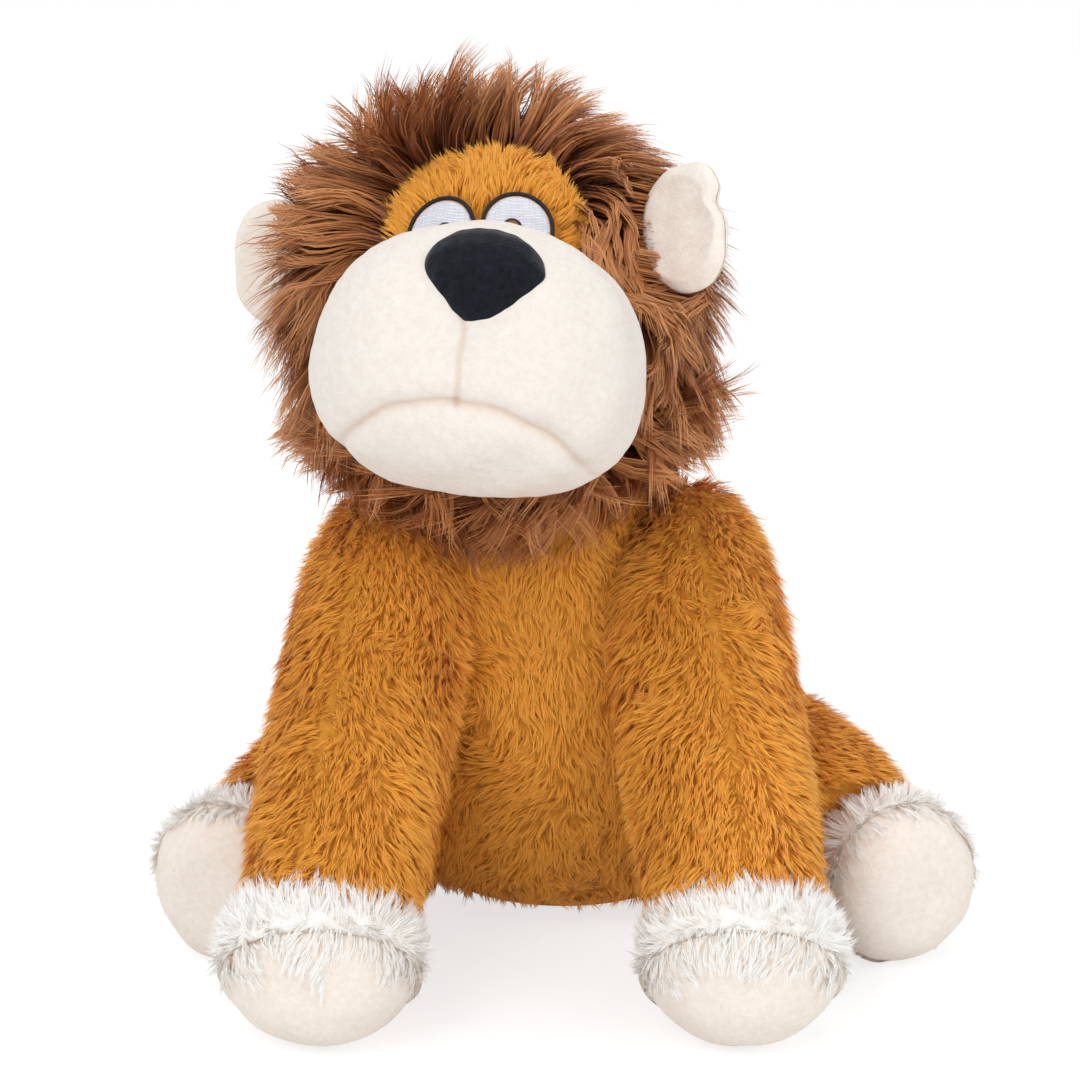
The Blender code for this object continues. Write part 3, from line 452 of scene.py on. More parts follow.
roots, _, _, out, _ = sown(body_cage(-PILE_DEPTH), GOLD_SPACING, 11)
kept = (roots[:, 2] > 0.010) & (hollowed(roots)[:, 2] > roots[:, 2] - 1e-6)
for side, _ in SIDES:
    kept &= from_line(roots, SHOULDERS[side], PAWS[side])[0] > ARM_RADIUS - 0.007
roots, out = roots[kept], out[kept]
comb = -UP + 0.5 * drift(roots, 0.045, 12) + 0.35 * drift(roots, 0.012, 13)
lines, flat = gold_tufts(roots, out, comb, 14, GOLD_LENGTH, GOLD_LAY)
tone = dye(roots, 0.05, 15, GOLD_FIBRES)
pile("body_pile", lines, flat, GOLD_WIDTH, tone, GOLD_PILE, "trunk")


# Each arm is a sleeve of the same plush, stuffed firmly and sewn to the body at the shoulder. Its front
# seam runs from the shoulder to the wrist, and the pile parts there.

# place along the arm, and thickness, as shares of the arm's length and radius
ARM_RINGS = ((-0.17, 0.62), (0.0, 0.98), (0.25, 1.06), (0.60, 1.04), (0.92, 1.0), (1.06, 0.8))
# the front seam's place round each arm, as a share of a turn, and the half width of the parting there
ARM_SEAMS, SEAM_PARTING = {-1: 0.298, 1: 0.232}, 0.0026
ARM_RAISE = math.radians(35)
WRIST_FROM_PAW = 0.010


def carried_cage(places, halves, side, grow=0.0):
    """Oval rings square to a path, the first and last moved on by grow, closed at both ends."""
    places = np.array(places)
    last = len(places) - 1
    rings = []
    for i, (across, along) in enumerate(halves):
        ahead = unit(places[min(i + 1, last)] - places[max(i - 1, 0)])
        first = unit(side - ahead * (side @ ahead))
        end = {0: -grow, last: grow}.get(i, 0)
        centre, second = places[i] + ahead * end, np.cross(ahead, first)
        rings.append(oval(centre, first, second, across + grow, along + grow, 12))
    return closed_ends(rings)


def arm_cage(side, grow):
    start, reach = SHOULDERS[side], PAWS[side] - SHOULDERS[side]
    halves = [(ARM_RADIUS * thick, ARM_RADIUS * thick) for _, thick in ARM_RINGS]
    return carried_cage([start + reach * along for along, _ in ARM_RINGS], halves, RIGHT, grow)


def swung(points, pivot, axis, angle):
    """Points turned about an axis through a pivot, by Rodrigues' formula."""
    off = points - pivot
    turned = off * math.cos(angle) + np.cross(axis, off) * math.sin(angle)
    return pivot + turned + np.outer(off @ axis, axis) * (1 - math.cos(angle))


def clear_of_body_when_raised(points, side, grow):
    """Points move clear of the body wherever the arm swings from rest to its limit."""
    for angle in (0, ARM_RAISE / 2, ARM_RAISE, 0):
        raised = clear_of_body(swung(points, SHOULDERS[side], -RIGHT, angle), grow)
        points = swung(raised, SHOULDERS[side], -RIGHT, -angle)
    return points


for side, name in SIDES:
    down_arm = unit(PAWS[side] - SHOULDERS[side])
    wrist = PAWS[side] - down_arm * WRIST_FROM_PAW
    points, _, faces = cover_grid(arm_cage(side, -PILE_DEPTH), 80, 90)
    points = clear_of_body_when_raised(points, side, -PILE_DEPTH + COVER_GAP)
    points = behind(points, wrist, down_arm, 0.0005)
    sleeve = shown(f"arm_{name}_backing", points, faces, GOLD_UNDERPILE, f"{name}_arm")
    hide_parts(f"arm_{name}")

    roots, along, around, out, t = sown(arm_cage(side, -PILE_DEPTH), GOLD_SPACING, 20 + side)
    kept = ((roots - wrist) @ down_arm < 0.001) & off_body(roots, -PILE_DEPTH)
    roots, along, around, out, t = (a[kept] for a in (roots, along, around, out, t))
    aside = t - ARM_SEAMS[side]
    near = np.exp(-((aside * math.tau * ARM_RADIUS / SEAM_PARTING) ** 2))
    comb = along + 0.6 * around * (np.sin(math.tau * aside) + 1.1 * np.sign(aside) * near)[:, None]
    comb += 0.4 * drift(roots, 0.04, 24) + 0.35 * drift(roots, 0.012, 25)
    length = LIMB_LENGTH * (1 - 0.45 * near)
    lines, flat = gold_tufts(roots, out, comb, 26 + side, length, LIMB_LAY)
    tone = dye(roots, 0.05, 28 + side, GOLD_FIBRES, 0.55)
    # fibres by the front seam are dulled, as painted shade in the seam's parting
    tone = np.clip(tone - 0.6 * np.repeat(near, GOLD_FIBRES), 0, 1)
    pile(f"arm_{name}_pile", lines, flat, GOLD_WIDTH, tone, GOLD_PILE, f"{name}_arm")


# The forepaws are white plush above and cream velour below, sewn together round the front and stuffed.
# The velour pad faces forward and down.

PAW_WIDTH, PAW_LENGTH, PAW_HEIGHT, PAW_SINK = 0.056, 0.056, 0.049, 0.0008
PAW_RINGS = ((-1.0, 0.42), (-0.72, 0.86), (0.0, 1.12), (0.72, 0.90), (1.0, 0.45))
PAD_WAY = np.array([0, -math.cos(math.radians(38)), -math.sin(math.radians(38))])
PAD_INSET = 0.009
WHITE_LENGTH, WHITE_WIDTH, WHITE_DEPTH = 0.0068, 0.00025, 0.0014
WHITE_SPACING, WHITE_FIBRES, WHITE_SPREAD = 0.0021, 13, 0.0019
VELOUR_DEPTH, VELOUR_GRAIN = 0.0006, 0.0009


def velour_finish(name, low, high, seam=None, bloom=0.4):
    """Short velour nap: it lies this way and that in tufts about two millimetres wide, over grains too fine
    to see singly. A mark along a seam darkens it, as painted shade in the seam's crease. Its pale bloom,
    where the nap is seen end on, spreads from the edges by the bloom's roughness."""
    plain = dict(Roughness=0.85, Specular_IOR_Level=0.2, Sheen_Weight=0.25, Sheen_Roughness=bloom)
    tree, shader, made = material(name, **plain)
    spot = add(tree, "ShaderNodeTexCoord").outputs["Object"]
    tuft = {"Vector": spot, "Scale": 480.0, "Detail": 5.0, "Roughness": 0.7}
    colour = ramp(tree, add(tree, "ShaderNodeTexNoise", tuft).outputs["Fac"], (low, high), 0.36, 0.62)
    if seam:
        # the seam mark paints shade along a seam's crease
        painted_seam_shade = add(tree, "ShaderNodeAttribute", attribute_name="seam").outputs["Fac"]
        seam_shaded = add(tree, "ShaderNodeMix", {0: painted_seam_shade, 6: colour, 7: linear(seam)}, data_type="RGBA")
        colour = seam_shaded.outputs[2]
    tree.links.new(colour, shader.inputs["Base Color"])
    grain = {"Vector": spot, "Scale": 1 / VELOUR_GRAIN, "Detail": 4.0, "Roughness": 0.7}
    nap = add(tree, "ShaderNodeTexNoise", grain).outputs["Fac"]
    bump = add(tree, "ShaderNodeBump", {"Height": nap, "Distance": 0.0005, "Strength": 0.7})
    tree.links.new(bump.outputs["Normal"], shader.inputs["Normal"])
    return made


# The same pile undyed, a little finer. Its depths stay pale, because light passes from fibre to fibre.
WHITE_PILE = pile_finish(
    "Acrylic plush pile, white",
    ("#f6f1ea", "#fbf8f3", "#fdfbf8", "#fdfcfa"),
    ("#faf7f2", "#fefdfb", "#fffefd", "#ffffff"),
    Roughness=0.6,
    Sheen_Weight=0.1,
)
WHITE_UNDERPILE = underpile_finish("Acrylic underpile, white", "#faf6f1", "#fffefc")
# Polyester velour, cream: matt, with a soft pale bloom at the edges.
CREAM_VELOUR = velour_finish("Polyester velour, cream", "#f2e6da", "#f8efe6")


def paw_cage(side, grow):
    centre = PAWS[side] - UP * PAW_SINK
    places = [centre - BACK * PAW_LENGTH / 2 * along for along, _ in PAW_RINGS]
    halves = [(PAW_WIDTH / 2 * size, PAW_HEIGHT / 2 * size) for _, size in PAW_RINGS]
    return carried_cage(places, halves, RIGHT, grow)


def stuffed_velour(cage, seam, ahead, seed):
    """The part of a form ahead of its seam. The stitches pull it in there by a bell curve, and the filling
    makes it a little uneven."""
    points, out, faces = cover_grid(cage, 76, 96)
    rim = (points - seam) @ ahead
    points = points - out * 0.0010 * np.exp(-((rim / 0.0022) ** 2))[:, None]
    points += out * 0.0003 * drift(points, 0.016, seed)[:, :1]
    return off_floor(behind(points, seam + ahead * 0.0003, -ahead)), faces


def white_pile(name, cage, seam, ahead, over, back, from_back, seed, body):
    """White pile from the plane at back to as far over the top of the velour's seam as over. It is combed
    back and up, stands upright a little behind the seam, and falls forward from there."""
    roots, along, _, out, _ = sown(cage, WHITE_SPACING, seed)
    past = (roots - seam) @ ahead
    high = np.clip((roots[:, 2] - seam[2] + 0.006) / 0.012, 0, 1)
    kept = past < over * high * (0.8 + 0.3 * drift(roots, 0.02, seed + 5)[:, 0])
    kept &= ((roots - back) @ from_back > -0.001) & (roots[:, 2] > 0.003)
    roots, along, out, past, high = (a[kept] for a in (roots, along, out, past, high))
    fall = np.clip((past + 0.007) / 0.007, 0, 1)
    roots += out * (WHITE_DEPTH - VELOUR_DEPTH) * (past > -0.001)[:, None]
    comb = along * (2 * fall - 1)[:, None] + UP * (0.3 - 0.8 * fall)[:, None]
    comb += 0.4 * drift(roots, 0.02, seed + 1) + 0.3 * drift(roots, 0.008, seed + 2)
    lean = np.abs(2 * fall - 1)
    lay = (0.2 + 0.4 * lean + 0.4 * fall, 0.6 + 0.8 * lean + 0.1 * fall)
    length = WHITE_LENGTH * (0.55 + 0.45 * high)
    lines, flat = tufts(roots, out, comb, seed + 3, WHITE_FIBRES, WHITE_SPREAD, length, lay, 0.2, 0.06)
    tone = dye(roots, 0.02, seed + 4, WHITE_FIBRES)
    pile(name, off_floor(lines), flat, WHITE_WIDTH, tone, WHITE_PILE, body)


for side, name in SIDES:
    down_arm = unit(PAWS[side] - SHOULDERS[side])
    wrist = PAWS[side] - down_arm * WRIST_FROM_PAW
    seam = PAWS[side] + PAD_WAY * PAD_INSET
    body = f"{name}_arm"
    points, _, faces = cover_grid(paw_cage(side, -WHITE_DEPTH), 60, 80)
    points = off_floor(behind(behind(points, seam, PAD_WAY, 0.0002), wrist, -down_arm, -0.0003))
    top = shown(f"forepaw_{name}_backing", points, faces, WHITE_UNDERPILE, body)
    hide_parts(f"forepaw_{name}")

    points, faces = stuffed_velour(paw_cage(side, -VELOUR_DEPTH), seam, PAD_WAY, 31)
    pad = shown(f"forepaw_{name}_pad_velour", points, faces, CREAM_VELOUR, body)
    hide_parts(f"forepaw_{name}_pad")

    cage = paw_cage(side, -WHITE_DEPTH)
    white_pile(f"forepaw_{name}_pile", cage, seam, PAD_WAY, 0.010, wrist, down_arm, 40 + side, body)


# The legs are stuffed haunches of gold plush that lie along the floor beside the body and turn outwards
# to the feet.

HIPS = {side: np.array([side * 0.052, -0.010, 0.036]) for side, _ in SIDES}
FEET = {side: np.array([side * 0.095, -0.047, 0.0245]) for side, _ in SIDES}
FOOT_TURN = math.radians(24)
FOOT_WAYS = {side: np.array([side * math.sin(FOOT_TURN), -math.cos(FOOT_TURN), 0]) for side, _ in SIDES}
LEG_RADIUS, LEG_HALF_HEIGHT, ANKLE_FROM_FOOT = 0.031, 0.0345, 0.008
# place from hip to foot, thickness, height and rise
LEG_RINGS = (
    (-0.36, 0.62, 0.62, 0.00),
    (-0.10, 0.98, 0.98, 0.06),
    (0.28, 1.04, 1.02, 0.06),
    (0.66, 0.90, 0.88, 0.00),
    (1.00, 0.70, 0.68, -0.14),
    (1.16, 0.42, 0.42, -0.20),
)


def leg_cage(side, grow):
    reach = FEET[side] - HIPS[side]
    places = [HIPS[side] + reach * along + UP * LEG_HALF_HEIGHT * rise for along, _, _, rise in LEG_RINGS]
    halves = [(LEG_RADIUS * thick, LEG_HALF_HEIGHT * tall) for _, thick, tall, _ in LEG_RINGS]
    return carried_cage(places, halves, unit(np.array([reach[1], -reach[0], 0])), grow)


def beside_arm(side):
    """A plane along the arm, which flattens the haunch where the arm lies against it."""
    down_arm = unit(PAWS[side] - SHOULDERS[side])
    thigh = HIPS[side] + 0.35 * (FEET[side] - HIPS[side])
    towards = SHOULDERS[side] - thigh
    towards = unit(towards - down_arm * (towards @ down_arm))
    return SHOULDERS[side] - towards * (ARM_RADIUS * 1.06 + 0.001), towards


for side, name in SIDES:
    ankle = FEET[side] - FOOT_WAYS[side] * ANKLE_FROM_FOOT
    at, towards = beside_arm(side)
    points, _, faces = cover_grid(leg_cage(side, -PILE_DEPTH), 70, 80)
    points = clear_of_body(points, -PILE_DEPTH + COVER_GAP)
    points = off_floor(behind(behind(points, at, towards, 0.003), ankle, FOOT_WAYS[side], 0.0005))
    haunch = shown(f"leg_{name}_backing", points, faces, GOLD_UNDERPILE, f"{name}_leg")
    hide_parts(f"leg_{name}")

    roots, along, _, out, _ = sown(leg_cage(side, -PILE_DEPTH), GOLD_SPACING, 50 + side)
    kept = ((roots - ankle) @ FOOT_WAYS[side] < 0) & ((roots - at) @ towards < -0.003)
    kept &= (roots[:, 2] > 0.003) & off_body(roots, -PILE_DEPTH)
    roots, along, out = roots[kept], along[kept], out[kept]
    comb = along - 0.5 * UP + 0.4 * drift(roots, 0.04, 54) + 0.35 * drift(roots, 0.012, 55)
    lines, flat = gold_tufts(roots, out, comb, 56 + side, LIMB_LENGTH, LIMB_LAY)
    tone = dye(roots, 0.05, 58 + side, GOLD_FIBRES)
    pile(f"leg_{name}_pile", lines, flat, GOLD_WIDTH, tone, GOLD_PILE, f"{name}_leg")


# The feet stand on their heels. The instep is white plush, and the sole is a stuffed oval of cream velour
# that faces forward.

FOOT_WIDTH, FOOT_HEIGHT, FOOT_THICKNESS, SOLE_INSET = 0.047, 0.049, 0.040, 0.007
FOOT_RINGS = ((-1.0, 0.50), (-0.70, 0.90), (0.0, 1.10), (0.70, 0.98), (1.0, 0.60))


def foot_cage(side, grow):
    ahead = FOOT_WAYS[side]
    places = [FEET[side] + ahead * FOOT_THICKNESS / 2 * along for along, _ in FOOT_RINGS]
    halves = [(FOOT_WIDTH / 2 * size, FOOT_HEIGHT / 2 * size) for _, size in FOOT_RINGS]
    return carried_cage(places, halves, np.array([ahead[1], -ahead[0], 0]), grow)


for side, name in SIDES:
    ahead = FOOT_WAYS[side]
    ankle = FEET[side] - ahead * ANKLE_FROM_FOOT
    seam = FEET[side] + ahead * SOLE_INSET
    body = f"{name}_leg"
    points, _, faces = cover_grid(foot_cage(side, -WHITE_DEPTH), 60, 80)
    points = off_floor(behind(behind(points, seam, ahead, 0.0002), ankle, -ahead, -0.0003))
    instep = shown(f"foot_{name}_backing", points, faces, WHITE_UNDERPILE, body)
    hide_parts(f"foot_{name}")

    points, faces = stuffed_velour(foot_cage(side, -VELOUR_DEPTH), seam, ahead, 61)
    sole = shown(f"foot_{name}_sole_velour", points, faces, CREAM_VELOUR, body)
    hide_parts(f"foot_{name}_sole")

    cage = foot_cage(side, -WHITE_DEPTH)
    white_pile(f"foot_{name}_pile", cage, seam, ahead, 0.004, ankle, ahead, 70 + side, body)


# The tail is a narrow stuffed tube of gold plush that ends in a brush of the mane's long pile. It lies on
# the floor behind the body.

TAIL_ROOT = np.array([0, 0.0455, 0.023])
TAIL_RADIUS, TAIL_LENGTH, TAIL_BEND, TAIL_SINK = 0.008, 0.085, 0.050, 0.00135
TAIL_RINGS = ((-0.12, 0.9), (0.04, 1.0), (0.2, 1.0), (0.4, 0.95), (0.7, 0.9), (1.0, 0.9), (1.06, 0.6))
TAIL_PILE_DEPTH, TAIL_SPACING, TAIL_FIBRES, TAIL_SPREAD, TAIL_PILE = 0.0025, 0.0019, 8, 0.0014, 0.006
BRUSH_RADIUS, BRUSH_LENGTH, BRUSH_SPACING, BRUSH_FIBRES = 0.015, 0.042, 0.0022, 14
BRUSH_SPREAD, BRUSH_PILE, BRUSH_FIBRE_WIDTH = 0.0016, 0.020, 0.0004
BRUSH_RINGS = ((0.0, 0.5), (0.25, 1.0), (0.6, 0.95), (0.9, 0.5), (1.0, 0.18))


def tail_point(along):
    """The tail falls to the floor in its first half, and curls left by the square of the way along it."""
    fall = min(max(along / 0.45, 0), 1)
    down = (TAIL_ROOT[2] - TAIL_RADIUS) * fall * fall * (3 - 2 * fall)
    return TAIL_ROOT + [TAIL_BEND * along**2, TAIL_LENGTH * along * (1 - along**2 / 2), -down]


def tail_cage(grow):
    places = [tail_point(along) - UP * TAIL_SINK for along, _ in TAIL_RINGS]
    return carried_cage(places, [(TAIL_RADIUS * thick,) * 2 for _, thick in TAIL_RINGS], UP, grow)


# Long acrylic pile, brown: the locks run from roots darkened with painted shade to lighter tips.
MANE_PILE = pile_finish(
    "Long acrylic pile, brown",
    ("#421d0a", "#763d1b", "#93522a", "#a15e32", "#ab683c"),
    ("#643014", "#a65f2e", "#ce894d", "#de9b60", "#ecb17a"),
    Roughness=0.5,
    Sheen_Weight=0.05,
)
MANE_UNDERPILE = underpile_finish("Acrylic underpile, brown", "#5a3018", "#744022")

tail_way = unit(tail_point(1) - tail_point(0.7))
tail_seam = tail_point(1) + tail_way * BRUSH_LENGTH / 8
points, _, faces = cover_grid(tail_cage(-TAIL_PILE_DEPTH), 60, 24)
points = off_floor(behind(clear_of_body(points, -PILE_DEPTH + COVER_GAP), tail_seam, tail_way, 0.0003))
tail = shown("tail_backing", points, faces, GOLD_UNDERPILE, "whole_tail")
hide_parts("tail")
roots, along, _, out, _ = sown(tail_cage(-TAIL_PILE_DEPTH), TAIL_SPACING, 81)
kept = ((roots - tail_seam) @ tail_way < 0) & (roots[:, 2] > 0.0015) & off_body(roots, -PILE_DEPTH)
roots, along, out = roots[kept], along[kept], out[kept]
comb = along + 0.5 * drift(roots, 0.02, 82)
lines, flat = tufts(roots, out, comb, 83, TAIL_FIBRES, TAIL_SPREAD, TAIL_PILE, GOLD_LAY, 0.5, GOLD_CURL)
tone = dye(roots, 0.05, 84, TAIL_FIBRES)
pile("tail_pile", off_floor(lines), flat, GOLD_WIDTH, tone, GOLD_PILE, "whole_tail")

brush_start = tail_point(1) + UP * (BRUSH_RADIUS - TAIL_RADIUS - 0.001)
places = [brush_start + tail_way * BRUSH_LENGTH * along * 0.8 for along, _ in BRUSH_RINGS]
brush_cage = carried_cage(places, [(BRUSH_RADIUS * thick * 0.5,) * 2 for _, thick in BRUSH_RINGS], UP)
points, _, faces = cover_grid(brush_cage, 40, 24)
brush = shown("tail_tuft_backing", points, faces, MANE_UNDERPILE, "whole_tail")
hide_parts("tail_tuft")
roots, along, _, out, _ = sown(brush_cage, BRUSH_SPACING, 86)
comb = along + 0.5 * drift(roots, 0.02, 87)
lines, flat = tufts(
    roots, out, comb, 88, BRUSH_FIBRES, BRUSH_SPREAD, BRUSH_PILE, (0.9, 1.5), 0.7, 0.06, rows=5
)
lines = off_floor(lines)
tone = dye(roots, 0.02, 89, BRUSH_FIBRES)
pile("tail_tuft_pile", lines, flat, BRUSH_FIBRE_WIDTH, tone, MANE_PILE, "whole_tail")


# Inside the covers are loose polyester fibre, the packed fibre of the neck, and a cotton bag of pellets
# that lets the lion sit.


def filling_finish(name, low, high, pitch, depth):
    """Fibre or cloth that is seen only inside: a fine uneven surface, matt, whose hollows are painted darker
    as painted shade.
    """
    tree, shader, made = material(name, Roughness=0.95)
    spot = add(tree, "ShaderNodeTexCoord").outputs["Object"]
    loose = {"Vector": spot, "Scale": 1 / pitch, "Detail": 6.0, "Distortion": 0.8}
    fluff = add(tree, "ShaderNodeTexNoise", loose)
    # the low parts of the bumps take the darker colour: painted shade in the hollows
    tree.links.new(ramp(tree, fluff.outputs["Fac"], (low, high), 0.35, 0.6), shader.inputs["Base Color"])
    bump = add(tree, "ShaderNodeBump", {"Height": fluff.outputs["Fac"], "Distance": depth})
    tree.links.new(bump.outputs["Normal"], shader.inputs["Normal"])
    return made


# Hollow polyester fibre, white, in loose fluff a few millimetres across.
FIBRE = filling_finish("Polyester filling fibre", "#d8d8d6", "#f0f0ee", 0.004, 0.001)
# Calico, unbleached, over pellets about 3 mm wide that show through it as bumps.
CALICO = filling_finish("Calico over pellets", "#c9c1ae", "#ddd6c6", 0.003, 0.0012)
for node in ("torso_filling", "head_filling", "neck_plug", "bean_bag"):
    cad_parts[node].data.materials.clear()
    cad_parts[node].data.materials.append(CALICO if node == "bean_bag" else FIBRE)


# The head is a ball of filling. It tilts back on the neck, and the mane covers it on its own panel: long
# brown pile that rises from the brow, fans out over the top and hangs at the sides and under the chin.


def rotation(axis, degrees):
    """The matrix of a turn about an axis, by Rodrigues' formula applied to the three unit ways."""
    return swung(np.eye(3), np.zeros(3), axis, math.radians(degrees)).T


HEAD_CENTRE = np.array([-0.017, -0.018, 0.187])
HEAD_TURN = rotation(BACK, -5) @ rotation(UP, -6.5) @ rotation(RIGHT, -20)
HEAD_SKIN = 0.0468
BROW_RISE, BROW_RADIUS, BROW_FLARE = 0.0205, 0.031, 0.012
MUZZLE_WIDTH, MUZZLE_HEIGHT, MUZZLE_LENGTH, MUZZLE_DROP, MUZZLE_BACK = 0.093, 0.076, 0.059, 0.0185, 0.030
MUZZLE_TURN = rotation(BACK, 9)


def on_neck(points):
    """Points of the head, made facing -Y about its own centre, moved to where it sits on the neck."""
    return points @ HEAD_TURN.T + HEAD_CENTRE


def askew(points):
    """The muzzle is sewn on a little askew, turned about its own middle."""
    return (points + UP * MUZZLE_DROP) @ MUZZLE_TURN.T - UP * MUZZLE_DROP


def in_brow(points):
    """How far a point of the head is from the middle of the brow's opening, 1 at its edge."""
    edge = BROW_RADIUS - BROW_FLARE - 2 * BROW_FLARE * points[:, 1] / 0.118
    return np.hypot(points[:, 0], points[:, 2] - BROW_RISE) / edge + 9 * (points[:, 1] > 0)


def in_muzzle(points):
    """How far a point of the head is from the middle of the muzzle, 1 at its widest outline."""
    off = (points + UP * MUZZLE_DROP) @ MUZZLE_TURN
    share = np.hypot(off[:, 0] / (MUZZLE_WIDTH / 2), off[:, 2] / (MUZZLE_HEIGHT / 2))
    return share + 9 * (points[:, 1] > -0.026)


def ball_cage(radius):
    """Rings of a ball from its bottom to its top, spaced by equal angles, a little larger than the ball,
    because the smooth surface lies inside them."""
    turns = np.radians(np.linspace(-80, 80, 9))
    size = radius * 1.03
    halves = size * np.cos(turns)
    rings = [oval(UP * size * math.sin(a), RIGHT, BACK, half, half, 16) for a, half in zip(turns, halves)]
    return closed_ends(rings)


points, _, faces = cover_grid(ball_cage(HEAD_SKIN), 80, 120)
mane_backing = shown("mane_backing", on_neck(points), faces, MANE_UNDERPILE, "head")
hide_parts("mane")

# where the ears stand, so that the hair stays off them
EAR_REACH, EAR_ROOT_HEIGHT = 0.031, 0.022
EAR_ROOTS = {-1: np.array([-0.0515, 0.004, 0.0195]), 1: np.array([0.043, -0.0215, 0.0165])}
EAR_SWEEPS = {-1: math.radians(14), 1: math.radians(-36)}


def ear_ways(side):
    """The ways out along an ear and back from its front."""
    way = np.array([side * math.cos(EAR_SWEEPS[side]), math.sin(EAR_SWEEPS[side]), 0])
    return way, np.array([-way[1], way[0], 0]) * side


def off_ears(lines):
    """Hair that would cross an ear passes behind it, or stops short in front of it. More of the right ear
    is covered than of the left."""
    points = lines.reshape(-1, 3)
    for side, covered in ((-1, 0.005), (1, 0.003)):
        way, back = ear_ways(side)
        off = points - EAR_ROOTS[side]
        along, thick = off @ way, off @ back
        beside = (np.abs(off[:, 2]) < 0.021) & (along > covered) & (along < EAR_REACH + 0.006)
        within = beside & (thick > -0.006) & (thick < 0.008)
        before = beside & (thick > -0.03) & (thick <= -0.006)
        points = points + (within * (0.008 - thick))[:, None] * back
        points = points - (before * (along - covered) * 0.85)[:, None] * way
    return points.reshape(lines.shape)


# place on the head, way it is combed, lay at the root and the tip in degrees, and length in millimetres
COMBED = (
    ((0.0, -0.62, 0.78), (0.55, 0.3, 0.7), 12, 84, 28),
    ((-0.45, -0.5, 0.75), (-0.5, 0.1, 0.9), 8, 52, 38),
    ((-0.62, -0.2, 0.72), (-0.5, 0.0, 0.85), 8, 54, 39),
    ((0.45, -0.45, 0.78), (0.9, 0.1, 0.15), 12, 84, 28),
    ((-0.80, -0.45, 0.40), (-0.25, -0.1, -1.0), 15, 92, 36),
    ((-0.95, -0.15, 0.10), (-0.3, 0.0, -1.0), 20, 92, 31),
    ((-0.75, -0.45, -0.45), (-0.8, 0.0, -0.6), 25, 68, 40),
    ((0.80, -0.45, 0.40), (0.35, 0.0, -1.0), 20, 92, 31),
    ((0.95, -0.15, 0.10), (0.3, 0.1, -1.0), 25, 88, 31),
    ((0.93, 0.15, 0.38), (0.0, 0.4, -1.0), 35, 100, 23),
    ((0.75, -0.45, -0.45), (0.9, 0.0, -0.45), 25, 70, 37),
    ((0.0, -0.45, -0.90), (0.0, -0.3, -1.0), 35, 80, 36),
    ((0.0, 0.35, 0.93), (0.1, 1.0, 0.1), 15, 80, 33),
    ((0.0, 0.95, 0.30), (0.0, 0.2, -1.0), 20, 90, 36),
    ((0.0, 0.80, -0.60), (0.0, 0.2, -1.0), 25, 85, 32),
)


def combing(ways):
    """The combing at each way out of the head: the rows of the table, weighed by how near they are."""
    at = unit(np.array([row[0] for row in COMBED]))
    share = np.exp(9 * (ways @ at.T - 1))
    share /= share.sum(1, keepdims=True)
    comb = share @ unit(np.array([row[1] for row in COMBED]))
    return comb, *(share @ np.array([row[2:] for row in COMBED], float)).T


# tufts over the whole ball, fibres in each and their width, the tuft's spread at the cloth, how far it has
# closed at its tip, and the longest hair
HAIR_TUFTS, HAIR_FIBRES, HAIR_WIDTH, HAIR_SPREAD, HAIR_GATHER = 2100, 32, 0.00042, 0.0031, 0.88
HAIR_LONGEST = 0.0378

count = HAIR_TUFTS
turn = np.arange(count) * math.pi * (3 - math.sqrt(5))
z = 1 - 2 * (np.arange(count) + 0.5) / count
rng = np.random.default_rng(91)
out = np.stack([np.sqrt(1 - z * z) * np.cos(turn), np.sqrt(1 - z * z) * np.sin(turn), z], -1)
out = unit(out + rng.normal(size=out.shape) * 0.012)
roots = out * HEAD_SKIN
kept = (in_brow(roots) > 0.97) & (in_muzzle(roots) > 0.90)
roots, out = roots[kept], out[kept]
world = on_neck(roots)
kept = off_body(world, 0.002) & (np.linalg.norm(world - NECK, axis=1) > 0.028)
roots, out = roots[kept], out[kept]
comb, low, high, length = combing(out)
comb += 0.34 * drift(roots, 0.035, 92) + 0.22 * drift(roots, 0.012, 93)
length = np.minimum(length / 1000 * (1 + 0.16 * drift(roots, 0.02, 94)[:, 0]), HAIR_LONGEST)
low = np.radians(low + 9 * drift(roots, 0.03, 95)[:, 0])
high = np.radians(high + 12 * drift(roots, 0.025, 96)[:, 1])
lay = (low, high)
lines, flat = tufts(
    roots, out, comb, 97, HAIR_FIBRES, HAIR_SPREAD, length, lay, HAIR_GATHER, 0.10, 0.9, rows=7, stray=0.04
)
lines, flat = on_neck(off_ears(lines)), flat @ HEAD_TURN.T


def hang_clear(lines):
    """Hair that would run into the body or an arm lies on it instead."""
    points = clear_of_body(lines.reshape(-1, 3), 0.004)
    for side, _ in SIDES:
        far, near = from_line(points, SHOULDERS[side], PAWS[side])
        push = np.maximum(ARM_RADIUS + 0.004 - far, 0) / np.maximum(far, 1e-6)
        points = points + (points - near) * push[:, None]
    return points.reshape(lines.shape)


lines[:, 1:] = hang_clear(lines[:, 1:])
tone = dye(roots, 0.016, 98, HAIR_FIBRES, 0.5, 0.22, 0.18)
pile("mane_pile", lines, flat, HAIR_WIDTH, tone, MANE_PILE, "head")


# The brow is a patch of the gold plush with its pile cut shorter and brushed up and out from the eyes.

BROW_SKIN, BROW_REACH, BROW_TUFTS = 0.0474, 0.030, 1900
BROW_PILE, BROW_FIBRES, BROW_SPREAD, BROW_FIBRE_WIDTH = 0.0066, 12, 0.0014, 0.00036


def facing(centre):
    """The ways across and up on the head at a way out of it."""
    across = unit(np.cross(UP, centre))
    return across, np.cross(centre, across)


